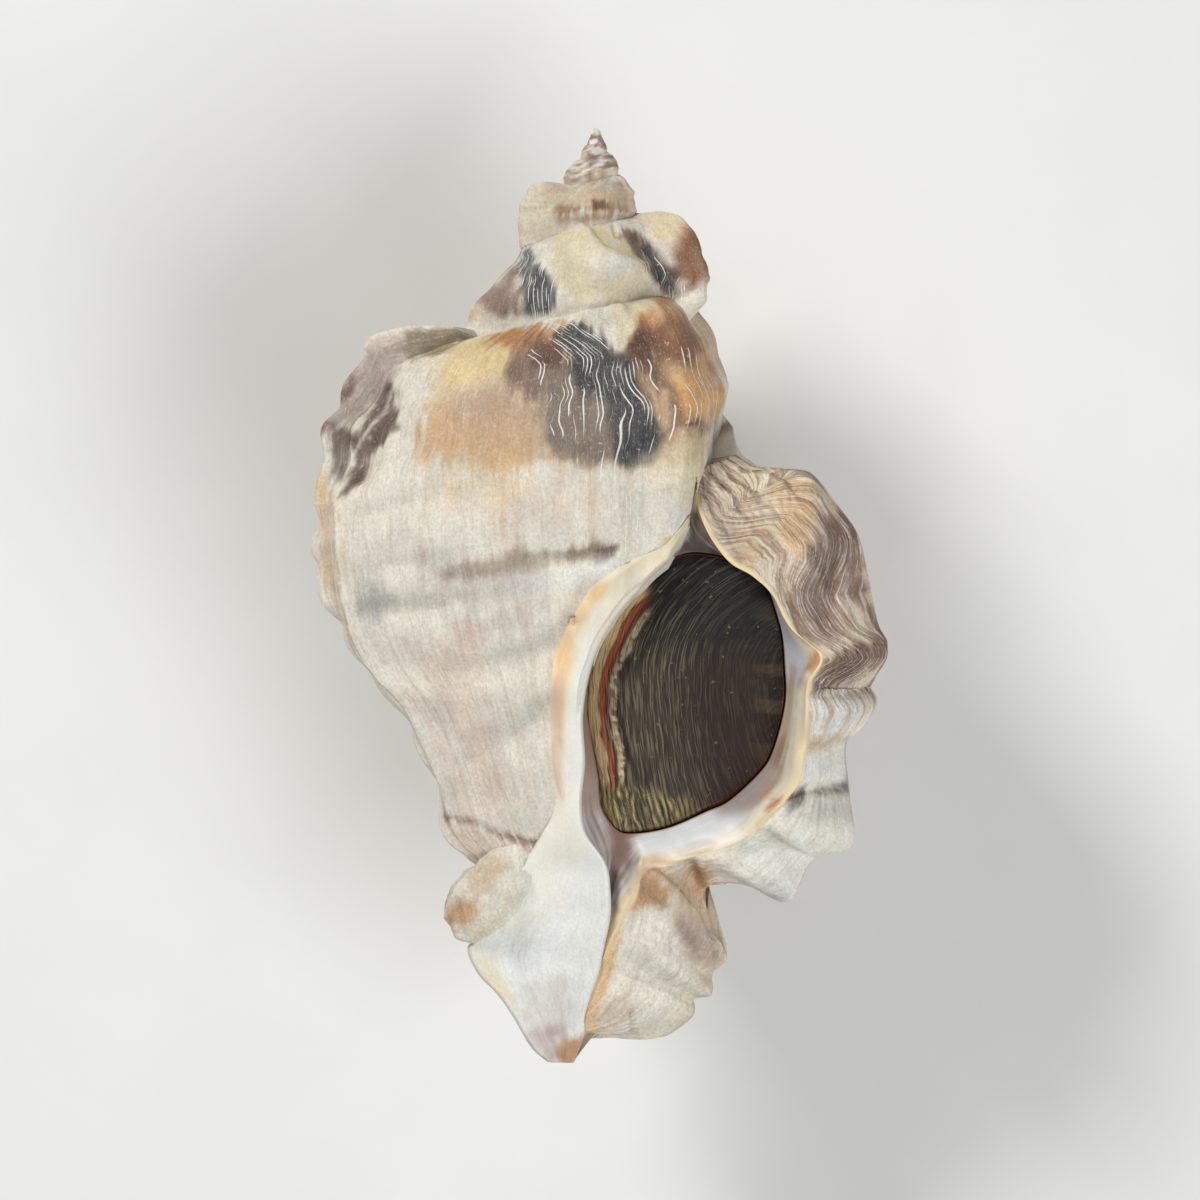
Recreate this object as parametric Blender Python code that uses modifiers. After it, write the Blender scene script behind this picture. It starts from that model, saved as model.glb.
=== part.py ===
# A three-winged murex shell with its operculum, lying on its back with the aperture up.
# Frame: X to the right of the aperture view, Y towards the apex, Z up. Shape values are in
# millimetres and become metres when the meshes are made.

import bpy
import bmesh
import numpy as np

# Driving dimensions
MM = 0.001
APEX_Y = 52.5               # the apex, measured along the shell from mid length
AXIS_X = -0.4               # the coiling axis runs along Y through this x
AXIS_Z = 29.0               # height of the coiling axis above the floor
EXPANSION = 1.84            # growth of the whorls in one turn
LIP_ANGLE = 330.0           # direction of the outer lip, degrees from +X towards the floor
FIRST_TURN = -7.0           # the apex, in turns before the lip
EDGE_THICKNESS = 1.1        # thickness of the wings' free edges
OPERCULUM_HEIGHT = 10.2     # operculum's upper face above the axis, at y = 0
OPERCULUM_SLOPE = 0.13      # rise of that face towards the apex
OPERCULUM_THICKNESS = 1.5
OPERCULUM_CROWN = 0.7
CLEARANCE = 0.3             # free gap between the shell and the operculum
APERTURE_CENTRE = np.array([9.5, -11.0])

# Fineness of the solids
LEVELS = 110                # points from a whorl's suture to the end of its canal
INNER_POINTS = 18           # points back up along the hidden side of a whorl
VOXEL = 0.6                 # cell with which the overlapping whorls are fused
KEEP_SHARE = 0.075          # share of the fused faces that is kept

# Generating curve of the whorl: distance from the axis and depth below the apex, once at the
# lip and once a full turn before it, at the same levels (0 the suture, 1 the canal's end).
CURVE_LEVELS = (0, .08, .18, .26, .34, .42, .50, .58, .66, .75, .83, .91, 1)
CURVE_AT_LIP = (
    (15.4, 34.3), (17.2, 37.6), (21.4, 41.5), (25.6, 47.5), (28.0, 55.5), (27.6, 63.3),
    (25.3, 71.1), (21.1, 78.3), (16.4, 84.4), (12.0, 90.6), (8.0, 96.0), (5.4, 101.0), (2.6, 104.4),
)
CURVE_ONE_TURN_BACK = (
    (8.4, 18.7), (10.4, 19.9), (12.8, 22.8), (14.4, 26.6), (15.2, 30.4), (15.0, 36.7),
    (14.2, 43.3), (12.9, 50.0), (11.3, 57.8), (9.6, 65.6), (7.8, 72.2), (5.8, 77.8), (2.8, 83.1),
)

# Earlier wings left standing on the spire: turn, then outward height at SPIRE_WING_LEVELS
SPIRE_WING_LEVELS = (0, .04, .10, .18, .26, .34, .42, .54, 1)
SPIRE_WINGS = {
    -0.925: (0, 2, 4.5, 6, 6, 6, 5, 2, 0),
    -1.02: (0, 0, -2, -3, -2, 0, -2, -3, 0),
    -1.33: (0, 4, 8, 11, 13, 13, 12, 0, 0),
    -1.64: (0, 2, 3, 3, 7, 12, 16, 6, 0),
    -2.02: (2, 9, 14, 17, 17, 18, 18, 2, 0),
    -2.33: (0, 6, 10, 13, 14, 14, 12, 0, 0),
    -2.64: (4, 14, 19, 20, 19, 18, 18, 4, 0),
    -3.00: (0, 0, 1, 2, 2, 2, 2, 0, 0),
    -3.33: (0, 3, 6, 8, 9, 9, 8, 0, 0),
    -3.64: (0, 2, 6, 9, 13, 14, 12, 0, 0),
    -4.00: (0, 1, 3, 4, 5, 5, 3, 0, 0),
    -4.33: (0, 1, 3, 4, 5, 5, 3, 0, 0),
    -4.64: (0, 1, 3, 4, 5, 5, 3, 0, 0),
}
# Rounded knobs on the shoulder between two wings: turn, height, half width in turns
SHOULDER_KNOBS = (
    (-2.83, 5.0, 0.055), (-2.50, 4.0, 0.050), (-2.17, 4.0, 0.050), (-1.83, 6.5, 0.060),
    (-1.50, 4.0, 0.050), (-1.17, 4.0, 0.050), (-0.50, 2.6, 0.045), (-0.17, 2.4, 0.045),
)
KNOB_LEVEL = 0.24
KNOB_SPREAD = 0.10

# Lip wing: free edge (x, y, z) and lip rim (x, y, z) at stations from the suture to the
# canal's tip, and the fold of the wing there (1 a crest, -1 a furrow). z is from the axis.
LIP_WING = (
    (15.1, 15.6, 10.0, 10.8, 13.9, 12.0, 0.0),
    (17.8, 14.1, 10.5, 10.8, 11.1, 12.6, 0.2),
    (21.1, 14.0, 10.5, 11.1, 8.9, 13.0, 0.5),
    (23.6, 13.4, 10.0, 12.4, 6.1, 13.4, 1.0),
    (26.4, 10.0, 9.5, 14.4, 3.6, 13.8, 0.2),
    (28.7, 6.7, 9.0, 16.9, 2.1, 14.0, -0.5),
    (29.8, 2.2, 8.5, 19.1, -0.1, 14.2, 0.3),
    (30.9, -3.0, 8.0, 21.1, -3.7, 14.2, 0.0),
    (32.0, -5.9, 8.5, 24.3, -6.7, 13.8, 1.0),
    (30.0, -9.5, 7.6, 22.9, -9.7, 13.4, -0.8),
    (30.6, -12.2, 8.0, 22.7, -13.3, 13.0, 0.7),
    (27.3, -16.3, 7.0, 22.6, -17.2, 12.4, -0.9),
    (27.7, -22.2, 6.5, 21.8, -21.1, 11.8, 0.2),
    (28.0, -27.4, 6.2, 18.7, -24.1, 11.0, 1.0),
    (23.6, -29.6, 5.2, 15.8, -27.0, 10.2, -0.8),
    (20.9, -34.1, 5.2, 12.4, -28.3, 9.6, 1.0),
    (16.1, -32.1, 4.8, 10.0, -29.0, 9.2, -0.3),
    (12.0, -32.4, 4.4, 7.6, -29.7, 8.8, -1.0),
    (12.4, -36.7, 4.0, 5.3, -30.3, 8.5, 0.2),
    (14.2, -40.2, 3.6, 4.4, -31.7, 8.0, 0.9),
    (12.6, -42.2, 3.1, 3.6, -33.9, 7.4, -0.4),
    (12.4, -44.4, 3.0, 2.4, -36.7, 6.6, 0.7),
    (10.4, -45.0, 2.5, 1.2, -40.0, 5.6, -0.5),
    (10.2, -47.0, 2.3, 0.4, -43.3, 4.6, 0.6),
    (6.7, -49.4, 1.8, -0.7, -46.1, 3.6, -0.2),
    (2.2, -49.5, 1.5, -1.5, -47.9, 2.8, 0.4),
    (-1.4, -48.8, 1.2, -2.3, -48.9, 2.2, 0.0),
    (-3.1, -52.4, 0.8, -3.4, -50.6, 1.4, 0.0),
)
LIP_CANAL_STATION = 17
LIP_CANAL_LEVEL = 0.66
LIP_RAMP_START = -0.13
LIP_RAMP_END = -0.02
# Stations at which one lobe of the lip wing overlaps the next, and the height of that step
LIP_STEPS = ((9.0, 0.8), (11.0, 0.8), (13.8, 1.1), (17.0, 0.8), (20.2, 0.6), (22.2, 0.5))
# Crests and furrows on the faces that look up: from (x, y) to (x, y), half width, height
LIP_CREASES = (
    (22.8, 13.0, 23.6, 7.0, 2.2, 0.8), (23.6, 7.0, 20.6, 1.0, 2.0, 0.9),
    (15.0, 12.0, 16.6, 5.0, 2.2, -1.2), (27.0, 5.0, 28.2, -3.0, 1.3, 0.6),
    (25.2, 3.5, 24.6, -2.0, 1.4, -1.1), (5.1, -30.3, 12.4, -37.8, 1.1, 1.1),
    (3.2, -34.5, 9.5, -43.5, 1.5, 0.5), (9.0, -34.0, 9.5, -30.8, 1.6, -0.7),
)
BODY_CREASES_FROM = -1.0    # they lie on the last whorl only, from this turn on
BODY_CREASES = (
    (-2.0, -1.5, -21.0, -6.0, 1.8, 0.45), (-2.5, 3.0, -12.0, 1.5, 1.0, -0.35),
    (-4.5, -6.5, -19.0, -11.5, 1.8, -0.35), (-5.0, -10.5, -17.0, -17.0, 2.0, 0.35),
    (-5.2, -16.0, -15.5, -22.5, 1.8, -0.3), (-24.0, 23.0, -20.5, 17.5, 2.2, -0.9),
    (-25.5, 17.0, -24.5, 12.0, 2.0, -0.7),
)

# Left wing: edge of its front lamella and of the outer lamella behind it, suture to canal
LEFT_WING = (
    (-15.8, 28.0, 9.6, -16.0, 29.8, 9.6),
    (-18.0, 26.6, 9.0, -19.4, 29.8, 9.8),
    (-20.9, 25.6, 9.0, -21.6, 29.7, 9.6),
    (-23.2, 24.0, 9.2, -25.3, 28.3, 9.6),
    (-24.7, 20.6, 9.0, -27.2, 24.4, 9.8),
    (-27.2, 18.2, 8.8, -29.2, 20.6, 10.0),
    (-27.2, 14.4, 9.0, -30.8, 17.4, 10.0),
    (-29.0, 10.9, 10.4, -31.2, 11.7, 9.6),
    (-28.9, 7.2, 11.5, -31.2, 7.2, 9.0),
    (-28.8, 3.3, 11.2, -31.6, 4.2, 8.8),
    (-28.4, -0.2, 10.8, -30.3, -0.6, 8.6),
    (-27.6, -4.4, 10.2, -28.1, -4.4, 8.4),
    (-25.3, -8.6, 9.4, -26.0, -8.3, 8.0),
    (-22.0, -12.2, 8.4, -22.7, -12.2, 7.2),
    (-19.6, -17.0, 7.2, -20.2, -16.7, 6.2),
    (-17.7, -21.7, 6.0, -18.1, -21.7, 5.0),
    (-16.0, -26.7, 4.6, -16.7, -27.8, 3.6),
    (-12.5, -30.0, 3.5, -13.0, -30.3, 2.6),
)
LEFT_TURN = -0.64
LEFT_RAMP_START = -0.84
LEFT_WING_END = 0.88        # level at which the wing runs out into its old canal
OLD_CANAL = (-8.0, -34.0, 3.0)
LEFT_LOBES = 12
LEFT_LOBE_HEIGHT = 0.45
# Step behind the front lamella: share of the way to the outer lamella, depth below it
LEFT_STEP = ((0, 0), (.05, .4), (.12, .9), (.3, .7), (.6, .2), (.85, 0), (1, 0))
LEFT_BELLY = 2.2            # height of the belly in the lamella before it dips to its edge
LEFT_FALL_END = -0.60

# Back wing, on which the shell rests: a crest of two lamellae with a band between them
BACK_TURNS = (-0.353, -0.303)
BACK_RAMP_START = -0.47
BACK_FALL_END = -0.285
BACK_HEIGHT = 7.6
BACK_LOBES = 9
BACK_LOBE_HEIGHT = 1.0
BACK_GROOVE = 0.8
BACK_WAVE = 0.006           # how far the lobes swing to either side, in turns

# Low spiral cords that end in the lobes of the wings
CORDS = 9
CORD_HEIGHT = 0.30

# Rounded first whorl at the very tip: centre and half sizes
TIP_CENTRE = (-0.4, 51.3, 0.0)
TIP_SIZE = (0.95, 1.25, 0.95)

# Edge of the columella along the aperture, from the canal's tip up to the suture
COLUMELLA_EDGE = (
    (-2.4, -46.5, 2.4), (-0.6, -41.0, 4.2), (0.3, -34.0, 6.0), (0.0, -30.0, 7.0),
    (-1.9, -26.1, 7.6), (-2.4, -22.8, 8.2), (-2.2, -18.3, 9.3), (-2.3, -12.8, 10.6),
    (-1.2, -7.2, 11.8), (1.1, -2.8, 12.2), (4.8, 1.4, 12.2), (7.6, 3.9, 12.0), (9.9, 8.0, 11.8),
    (10.7, 11.5, 11.9),
)
COLUMELLA_ABOVE_CANAL = 4

# Outline of the operculum, clockwise from its upper end
OPERCULUM_OUTLINE = (
    (11.3, 4.6), (17.2, 2.6), (19.8, -3.1), (20.4, -8.2), (20.4, -12.1), (19.2, -16.9),
    (17.8, -19.4), (14.4, -22.6), (11.9, -23.8), (7.8, -25.6), (4.0, -26.3), (1.9, -25.9),
    (0.2, -23.3), (-0.1, -19.8), (-1.1, -14.7), (-1.3, -11.6), (-0.7, -7.8), (1.7, -2.3),
    (5.0, 1.4), (7.6, 3.8),
)
# Which point of that outline faces which station of the rim and of the columella edge
RIM_FACES = (
    (0, -0.5), (2, -0.2), (3.5, 0.4), (5, 1.0), (6.5, 1.7), (8, 2.9), (10, 4.3), (12, 6.0),
    (13, 7.0), (15, 8.5), (17, 9.7), (20, 10.3), (27, 10.8),
)
COLUMELLA_FACES = (
    (0, 10.9), (2, 11.2), (4, 12.0), (6, 13.2), (7, 14.7), (8, 16.0), (9, 17.0), (10, 18.0),
    (11, 19.0), (12, 19.3), (13, 19.5),
)
# Cavity below the operculum: share of its outline, depth below its upper face
CAVITY = ((1.0, 1.9), (0.93, 2.2), (0.9, 3.8), (0.8, 6.5), (0.6, 9.0), (0.3, 10.5), (0.05, 11.0))
CAVITY_LEAN = 0.12

# Callus on the columella, running on into the left flap of the canal: left and right borders
CALLUS_LEFT = (
    (11.1, 10.6, 12.0), (7.2, 5.6, 13.0), (3.3, 3.9, 13.6), (-0.6, 1.3, 13.6), (-2.9, -1.9, 13.0),
    (-4.9, -6.1, 11.8), (-5.7, -11.7, 10.4), (-5.7, -17.2, 9.2), (-4.9, -22.8, 8.0),
    (-6.1, -26.3, 7.2), (-8.0, -29.7, 6.4), (-9.9, -32.2, 5.8), (-11.1, -35.2, 5.2),
    (-12.8, -37.8, 4.4), (-14.4, -39.4, 3.6), (-13.3, -42.2, 2.8), (-11.1, -44.6, 2.2),
    (-9.3, -47.2, 1.6), (-7.0, -50.6, 1.0), (-4.9, -52.1, 0.6),
)
CALLUS_RIGHT = (
    (11.4, 11.4, 12.2), (10.0, 7.8, 12.6), (7.6, 4.1, 12.9), (4.8, 1.4, 13.2), (1.2, -2.8, 13.2),
    (-1.0, -7.2, 12.6), (-2.1, -12.8, 11.5), (-1.9, -18.3, 10.3), (-2.3, -22.8, 9.2),
    (-1.8, -26.3, 8.8), (0.4, -29.7, 8.6), (0.9, -32.8, 8.2), (0.9, -35.6, 7.6), (0.4, -38.3, 6.8),
    (0.0, -40.8, 6.0), (-0.7, -43.0, 5.2), (-1.3, -45.0, 4.4), (-1.8, -47.0, 3.6),
    (-2.2, -49.4, 2.6), (-2.7, -52.3, 1.2),
)
CALLUS_THICKNESS = 1.6
CALLUS_CROWN = 0.12         # height of its arch as a share of its width
FLAP_HOLLOW = 0.15          # depth of the canal flap as a share of its width

# End of an earlier canal, a flared stub beside the present one: centre line and half widths
STUB_LINE = ((-4.5, -27.5, 3.5), (-8.8, -30.8, 4.6), (-12.8, -33.8, 4.8), (-17.0, -36.2, 3.8))
STUB_ACROSS = (-0.48, 0.88, 0.0)
STUB_WIDTHS = (3.2, 4.1)
STUB_DEPTHS = (3.2, 1.5)
STUB_CLOSES = 0.6           # share of its length after which it rounds off


def smooth(value, low, high):
    """0 below low, 1 above high, and an even curve between."""
    q = np.clip((value - low) / (high - low), 0.0, 1.0)
    return q * q * (3.0 - 2.0 * q)


def curve_through(points, at, knots=None):
    """Smooth curve through the points, read at positions from 0 to 1."""
    points = np.asarray(points, float)
    count = len(points)
    knots = np.linspace(0.0, 1.0, count) if knots is None else np.asarray(knots, float)
    tangents = np.empty_like(points)
    tangents[1:-1] = (points[2:] - points[:-2]) / (knots[2:] - knots[:-2])[:, None]
    tangents[0] = (points[1] - points[0]) / (knots[1] - knots[0])
    tangents[-1] = (points[-1] - points[-2]) / (knots[-1] - knots[-2])
    at = np.clip(at, 0.0, 1.0)
    i = np.clip(np.searchsorted(knots, at, side="right") - 1, 0, count - 2)
    span = (knots[i + 1] - knots[i])[:, None]
    q = (at - knots[i])[:, None] / span
    start = 2 * q ** 3 - 3 * q ** 2 + 1
    leave = (q ** 3 - 2 * q ** 2 + q) * span
    arrive = (q ** 3 - q ** 2) * span
    return (start * points[i] + leave * tangents[i]
            + (1 - start) * points[i + 1] + arrive * tangents[i + 1])


def closed_curve(points, index):
    """Smooth closed curve through the points, read at fractional point numbers."""
    points = np.asarray(points, float)
    first = np.floor(index).astype(int)
    q = (index - first)[:, None]
    before, here, after, beyond = (points[(first + k) % len(points)] for k in (-1, 0, 1, 2))
    return 0.5 * (2 * here + (after - before) * q
                  + (2 * before - 5 * here + 4 * after - beyond) * q ** 2
                  + (3 * here - before - 3 * after + beyond) * q ** 3)


def generating_curve(levels, turn):
    """Distance from the axis and depth below the apex of a whorl's section at one turn."""
    lip = curve_through(CURVE_AT_LIP, levels, CURVE_LEVELS)
    old = curve_through(CURVE_ONE_TURN_BACK, levels, CURVE_LEVELS)
    if turn < -1.0:
        return old * EXPANSION ** (turn + 1.0)
    return lip ** (1.0 + turn) * old ** (-turn)


def place(radius, depth, turn):
    """Points of a section at their place round the axis."""
    angle = np.radians(LIP_ANGLE - 360.0 * turn)
    return np.stack([AXIS_X + radius * np.cos(angle), APEX_Y - depth, -radius * np.sin(angle)], -1)


def spire_wing_height(levels, turn):
    total = np.zeros_like(levels)
    for wing_turn, heights in SPIRE_WINGS.items():
        behind = turn - wing_turn
        width = 0.045 if behind < 0 else 0.018
        total += np.exp(-(behind / width) ** 2) * np.interp(levels, SPIRE_WING_LEVELS, heights)
    return total


def knob_height(levels, turn):
    along = sum(h * np.exp(-((turn - at) / width) ** 2) for at, h, width in SHOULDER_KNOBS)
    return along * np.exp(-((levels - KNOB_LEVEL) / KNOB_SPREAD) ** 2)


def crease_height(points, creases):
    """Height of crests and furrows, each a soft ridge along a straight line of the plan."""
    total = np.zeros(points.shape[:-1])
    for x0, y0, x1, y1, width, height in creases:
        start = np.array([x0, y0])
        run = np.array([x1, y1]) - start
        off = points[..., :2] - start
        along = np.clip(off @ run / (run @ run), 0.0, 1.0)
        away = np.linalg.norm(off - along[..., None] * run, axis=-1)
        total += height * np.exp(-(away / width) ** 2)
    return total


def whorl_section(levels, turn):
    """Outer side of the whorl at one turn, with its old wings, knobs and cords."""
    section = generating_curve(levels, turn)
    size = EXPANSION ** turn
    wing = spire_wing_height(levels, turn) * size
    knob = knob_height(levels, turn) * size
    cord = CORD_HEIGHT * size * np.cos(2 * np.pi * CORDS * levels) * smooth(levels, 0.0, 0.1)
    lift = 0.3 * wing * (1.0 - smooth(levels, 0.0, 0.25))
    points = place(section[:, 0] + wing + knob + cord, section[:, 1] - lift, turn)
    if turn > BODY_CREASES_FROM:
        facing = smooth(points[:, 2], 2.0, 6.0)
        points[:, 2] += facing * crease_height(points, BODY_CREASES)
    return points


def hidden_section(turn):
    """Inner side of the whorl, close to the axis, from the canal's end up to the suture."""
    q = np.linspace(0.0, 1.0, INNER_POINTS + 2)[1:-1]
    canal, suture = generating_curve(np.array([1.0, 0.0]), turn)
    core = 0.25 * canal[0]
    radius = np.interp(q, (0.0, 0.75, 1.0), (core, core, 0.8 * suture[0]))
    return place(radius, canal[1] + (suture[1] - canal[1]) * q, turn)


def lip_knots():
    to_canal = np.linspace(0.0, LIP_CANAL_LEVEL, LIP_CANAL_STATION + 1)
    beyond = np.linspace(LIP_CANAL_LEVEL, 1.0, len(LIP_WING) - LIP_CANAL_STATION)
    return np.concatenate([to_canal, beyond[1:]])


def lip_wing_lines(levels):
    """Free edge, rim and fold of the lip wing at the levels."""
    table = curve_through(LIP_WING, levels, lip_knots())
    return table[:, :3], table[:, 3:6], table[:, 6]


def left_wing_lines(levels):
    """Edges of the front and the outer lamella of the left wing."""
    table = curve_through(LEFT_WING, levels / LEFT_WING_END)
    front, outer = table[:, :3].copy(), table[:, 3:].copy()
    lobe = np.abs(np.cos(np.pi * LEFT_LOBES * levels / LEFT_WING_END)) ** 1.5 - 0.5
    outer[:, 0] -= LEFT_LOBE_HEIGHT * 2.0 * lobe * smooth(levels, 0.05, 0.2)
    run_out = smooth(levels, LEFT_WING_END, 1.0)[:, None]
    end = np.array(OLD_CANAL)
    return front * (1 - run_out) + end * run_out, outer * (1 - run_out) + end * run_out


def back_wing_edge(levels, turn):
    """Crest of the back wing at one turn within it."""
    section = generating_curve(levels, turn)
    wave = np.cos(2 * np.pi * BACK_LOBES * levels)
    turn = turn + BACK_WAVE * wave
    lobe = BACK_LOBE_HEIGHT * (wave - 0.4)
    height = (BACK_HEIGHT + lobe) * smooth(levels, -0.02, 0.16)
    height = height * (1.0 - 0.75 * smooth(levels, 0.5, 1.0))
    return place(section[:, 0] + height, section[:, 1] + 0.6, turn)


def lip_step_height(levels):
    """Rise of each lobe of the lip wing to its lower edge, and the drop to the next."""
    station = np.interp(levels, lip_knots(), np.arange(len(LIP_WING)))
    total = np.zeros_like(levels)
    for edge, height in LIP_STEPS:
        before = np.clip(edge - station, 0.0, None)
        after = np.clip(station - edge, 0.0, None)
        rise = np.exp(-before / 0.7) * (station <= edge)
        drop = np.exp(-after / 0.6) * (station > edge)
        total += height * (rise - 0.8 * drop)
    return total


def columella_edge(drop):
    at = np.linspace(0.0, 1.0, INNER_POINTS + 2)[1:-1]
    return curve_through(COLUMELLA_EDGE, at) - np.array([0.0, 0.0, drop])


def operculum_face(y):
    return OPERCULUM_HEIGHT + OPERCULUM_SLOPE * y


def grown(outline, amount):
    """The outline, moved away from the aperture's centre."""
    away = outline - APERTURE_CENTRE
    return outline + amount * away / np.linalg.norm(away, axis=1)[:, None]


def operculum_seat(levels):
    """Outline round the operculum, at the points that face the rim and the columella edge."""
    station = np.interp(levels, lip_knots(), np.arange(len(LIP_WING)))
    rim_index = np.interp(station, *zip(*RIM_FACES))
    at = np.linspace(0.0, len(COLUMELLA_EDGE) - 1, INNER_POINTS + 2)[1:-1]
    index = np.concatenate([rim_index, np.interp(at, *zip(*COLUMELLA_FACES))])
    outline = grown(closed_curve(OPERCULUM_OUTLINE, index), CLEARANCE + 0.05)
    return np.column_stack([outline, operculum_face(outline[:, 1])])


class Whorls:
    """The growing tube of the shell as rows of points, each row a closed loop."""

    def __init__(self):
        self.levels = np.linspace(0.0, 1.0, LEVELS)
        self.rows = []
        self.turns = []

    def add(self, outer, inner, turn):
        self.rows.append(np.vstack([outer, inner]))
        self.turns.append(turn)

    def grow(self, start, end, count):
        """Plain whorl from one turn to another."""
        for turn in np.linspace(start, end, count, endpoint=False):
            self.add(whorl_section(self.levels, turn), hidden_section(turn), turn)

    def rise(self, start, end, count, tip, belly=0.0):
        """Trailing side of a wing, which sweeps up from the whorl to its edge."""
        root = whorl_section(self.levels, end)
        for q in np.linspace(0.0, 1.0, count, endpoint=False):
            turn = start + (end - start) * (1.0 - (1.0 - q) ** 1.3)
            row = whorl_section(self.levels, turn) + q ** 1.7 * (tip - root)
            row[:, 2] += belly * np.sin(np.pi * q ** 2.5)
            self.add(row, hidden_section(turn), turn)

    def fall(self, start, end, count, tip):
        """Leading side of a wing, from its edge back down to the whorl."""
        for q in np.linspace(0.0, 1.0, count + 1)[1:]:
            turn = start + (end - start) * q
            body = whorl_section(self.levels, turn)
            self.add(body + (1.0 - q) ** 1.15 * (tip - body), hidden_section(turn), turn)


def add_left_wing(whorls):
    front, outer = left_wing_lines(whorls.levels)
    hidden = hidden_section(LEFT_TURN)
    width = np.linalg.norm((outer - front)[:, :2], axis=1)
    belly = LEFT_BELLY * smooth(width, 0.5, 3.0)
    whorls.rise(LEFT_RAMP_START, LEFT_TURN, 34, front, belly)
    for share, depth in LEFT_STEP:
        row = front + share * (outer - front)
        row[:, 2] -= depth * smooth(width, 0.3, 2.0)
        whorls.add(row, hidden, LEFT_TURN)
    under = outer - np.array([0.0, 0.0, EDGE_THICKNESS])
    whorls.add(under, hidden, LEFT_TURN)
    whorls.fall(LEFT_TURN, LEFT_FALL_END, 14, under)


def add_back_wing(whorls):
    first, last = BACK_TURNS
    whorls.rise(BACK_RAMP_START, first, 22, back_wing_edge(whorls.levels, first))
    for q in np.linspace(0.0, 1.0, 13):
        turn = first + (last - first) * q
        edge = back_wing_edge(whorls.levels, turn)
        groove = BACK_GROOVE * 0.5 * (1.0 - np.cos(2 * np.pi * 3 * q)) * (0.2 < q < 0.8)
        edge[:, 2] += groove * smooth(np.abs(whorls.levels - 0.4), 0.1, 0.16)
        whorls.add(edge, hidden_section(turn), turn)
    whorls.fall(last, BACK_FALL_END, 12, back_wing_edge(whorls.levels, last))


def add_lip(whorls):
    """Lip wing, its leading face, the rim, the inner wall and the cavity."""
    levels = whorls.levels
    edge, rim, fold = lip_wing_lines(levels)
    step = lip_step_height(levels)
    width = np.linalg.norm(rim - edge, axis=1)
    behind = edge.copy()
    behind[:, 2] += 0.5 * fold + 0.8 * step - EDGE_THICKNESS
    start = hidden_section(0.0)
    below = columella_edge(3.0)
    whorls.rise(LIP_RAMP_START, LIP_RAMP_END, 22, behind)
    whorls.add(behind, start, 0.0)
    for q in np.linspace(0.0, 1.0, 26, endpoint=False):
        row = edge + q * (rim - edge)
        arch = np.sin(np.pi * q)
        outer_part = 1.0 - q ** 2
        row[:, 2] += arch * width / 9.0 + outer_part * (0.5 * fold + 0.8 * step)
        row[:, 2] += arch ** 0.5 * crease_height(row, LIP_CREASES)
        whorls.add(row, start + q * (below - start), 0.0)
    rim_loop = np.vstack([rim, columella_edge(0.5)])
    seat = operculum_seat(levels)
    for q in np.linspace(0.0, 1.0, 12):
        loop = rim_loop + q * (seat - rim_loop)
        loop[:, 2] = rim_loop[:, 2] + (seat[:, 2] - rim_loop[:, 2]) * np.sin(0.5 * np.pi * q)
        whorls.add(loop[:LEVELS], loop[LEVELS:], 0.0)
    for share, depth in CAVITY:
        loop = seat.copy()
        loop[:, :2] = APERTURE_CENTRE + share * (seat[:, :2] - APERTURE_CENTRE)
        loop[:, 0] += CAVITY_LEAN * depth
        loop[:, 2] -= depth
        whorls.add(loop[:LEVELS], loop[LEVELS:], 0.0)


def share_of_aperture(points):
    """Distance of points from the aperture's centre as a share of the rim's distance."""
    rim = np.array(LIP_WING)[:LIP_CANAL_STATION + 1, 3:5]
    loop = np.vstack([rim, np.array(COLUMELLA_EDGE)[COLUMELLA_ABOVE_CANAL:, :2]])
    away = loop - APERTURE_CENTRE
    angles = np.arctan2(away[:, 1], away[:, 0])
    order = np.argsort(angles)
    angles = angles[order]
    radii = np.linalg.norm(away, axis=1)[order]
    angles = np.concatenate([angles - 2 * np.pi, angles, angles + 2 * np.pi])
    off = points - APERTURE_CENTRE
    at = np.arctan2(off[..., 1], off[..., 0])
    return np.linalg.norm(off, axis=-1) / np.interp(at, angles, np.tile(radii, 3))


def clear_aperture(rows):
    """Lower what the older whorls hold inside the aperture to below its inner wall."""
    share = share_of_aperture(rows[..., :2])
    depth = np.interp(share, (0.0, 0.80, 0.92, 1.0, 1.1), (-3.0, -2.5, -1.5, 2.0, 12.0))
    limit = operculum_face(rows[..., 1]) + depth
    rows[..., 2] = np.where(share < 1.1, np.minimum(rows[..., 2], limit), rows[..., 2])
    return rows


def whorl_rows():
    whorls = Whorls()
    whorls.grow(FIRST_TURN, -3.1, 80)
    whorls.grow(-3.1, -1.15, 130)
    whorls.grow(-1.15, LEFT_RAMP_START, 30)
    add_left_wing(whorls)
    whorls.grow(LEFT_FALL_END, BACK_RAMP_START, 14)
    add_back_wing(whorls)
    whorls.grow(BACK_FALL_END, LIP_RAMP_START, 16)
    add_lip(whorls)
    rows = np.array(whorls.rows)
    older = np.array(whorls.turns) < BACK_FALL_END
    rows[older] = clear_aperture(rows[older])
    return rows


def callus_rows(along=60, across=12):
    """Callus and left canal flap: a thick sheet, arched above and hollow below the aperture."""
    at = np.linspace(0.0, 1.0, along)
    left = curve_through(CALLUS_LEFT, at)
    right = curve_through(CALLUS_RIGHT, at)
    width = np.linalg.norm(right - left, axis=1)
    bend = CALLUS_CROWN - (CALLUS_CROWN + FLAP_HOLLOW) * smooth(at, 0.42, 0.55)
    q = np.linspace(0.0, 1.0, across)
    upper = left[:, None] + q[None, :, None] * (right - left)[:, None]
    upper[..., 2] += np.sin(np.pi * q) * (bend * width)[:, None]
    lower = upper[:, ::-1] - np.array([0.0, 0.0, CALLUS_THICKNESS])
    return np.concatenate([upper, lower], axis=1)


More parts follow.
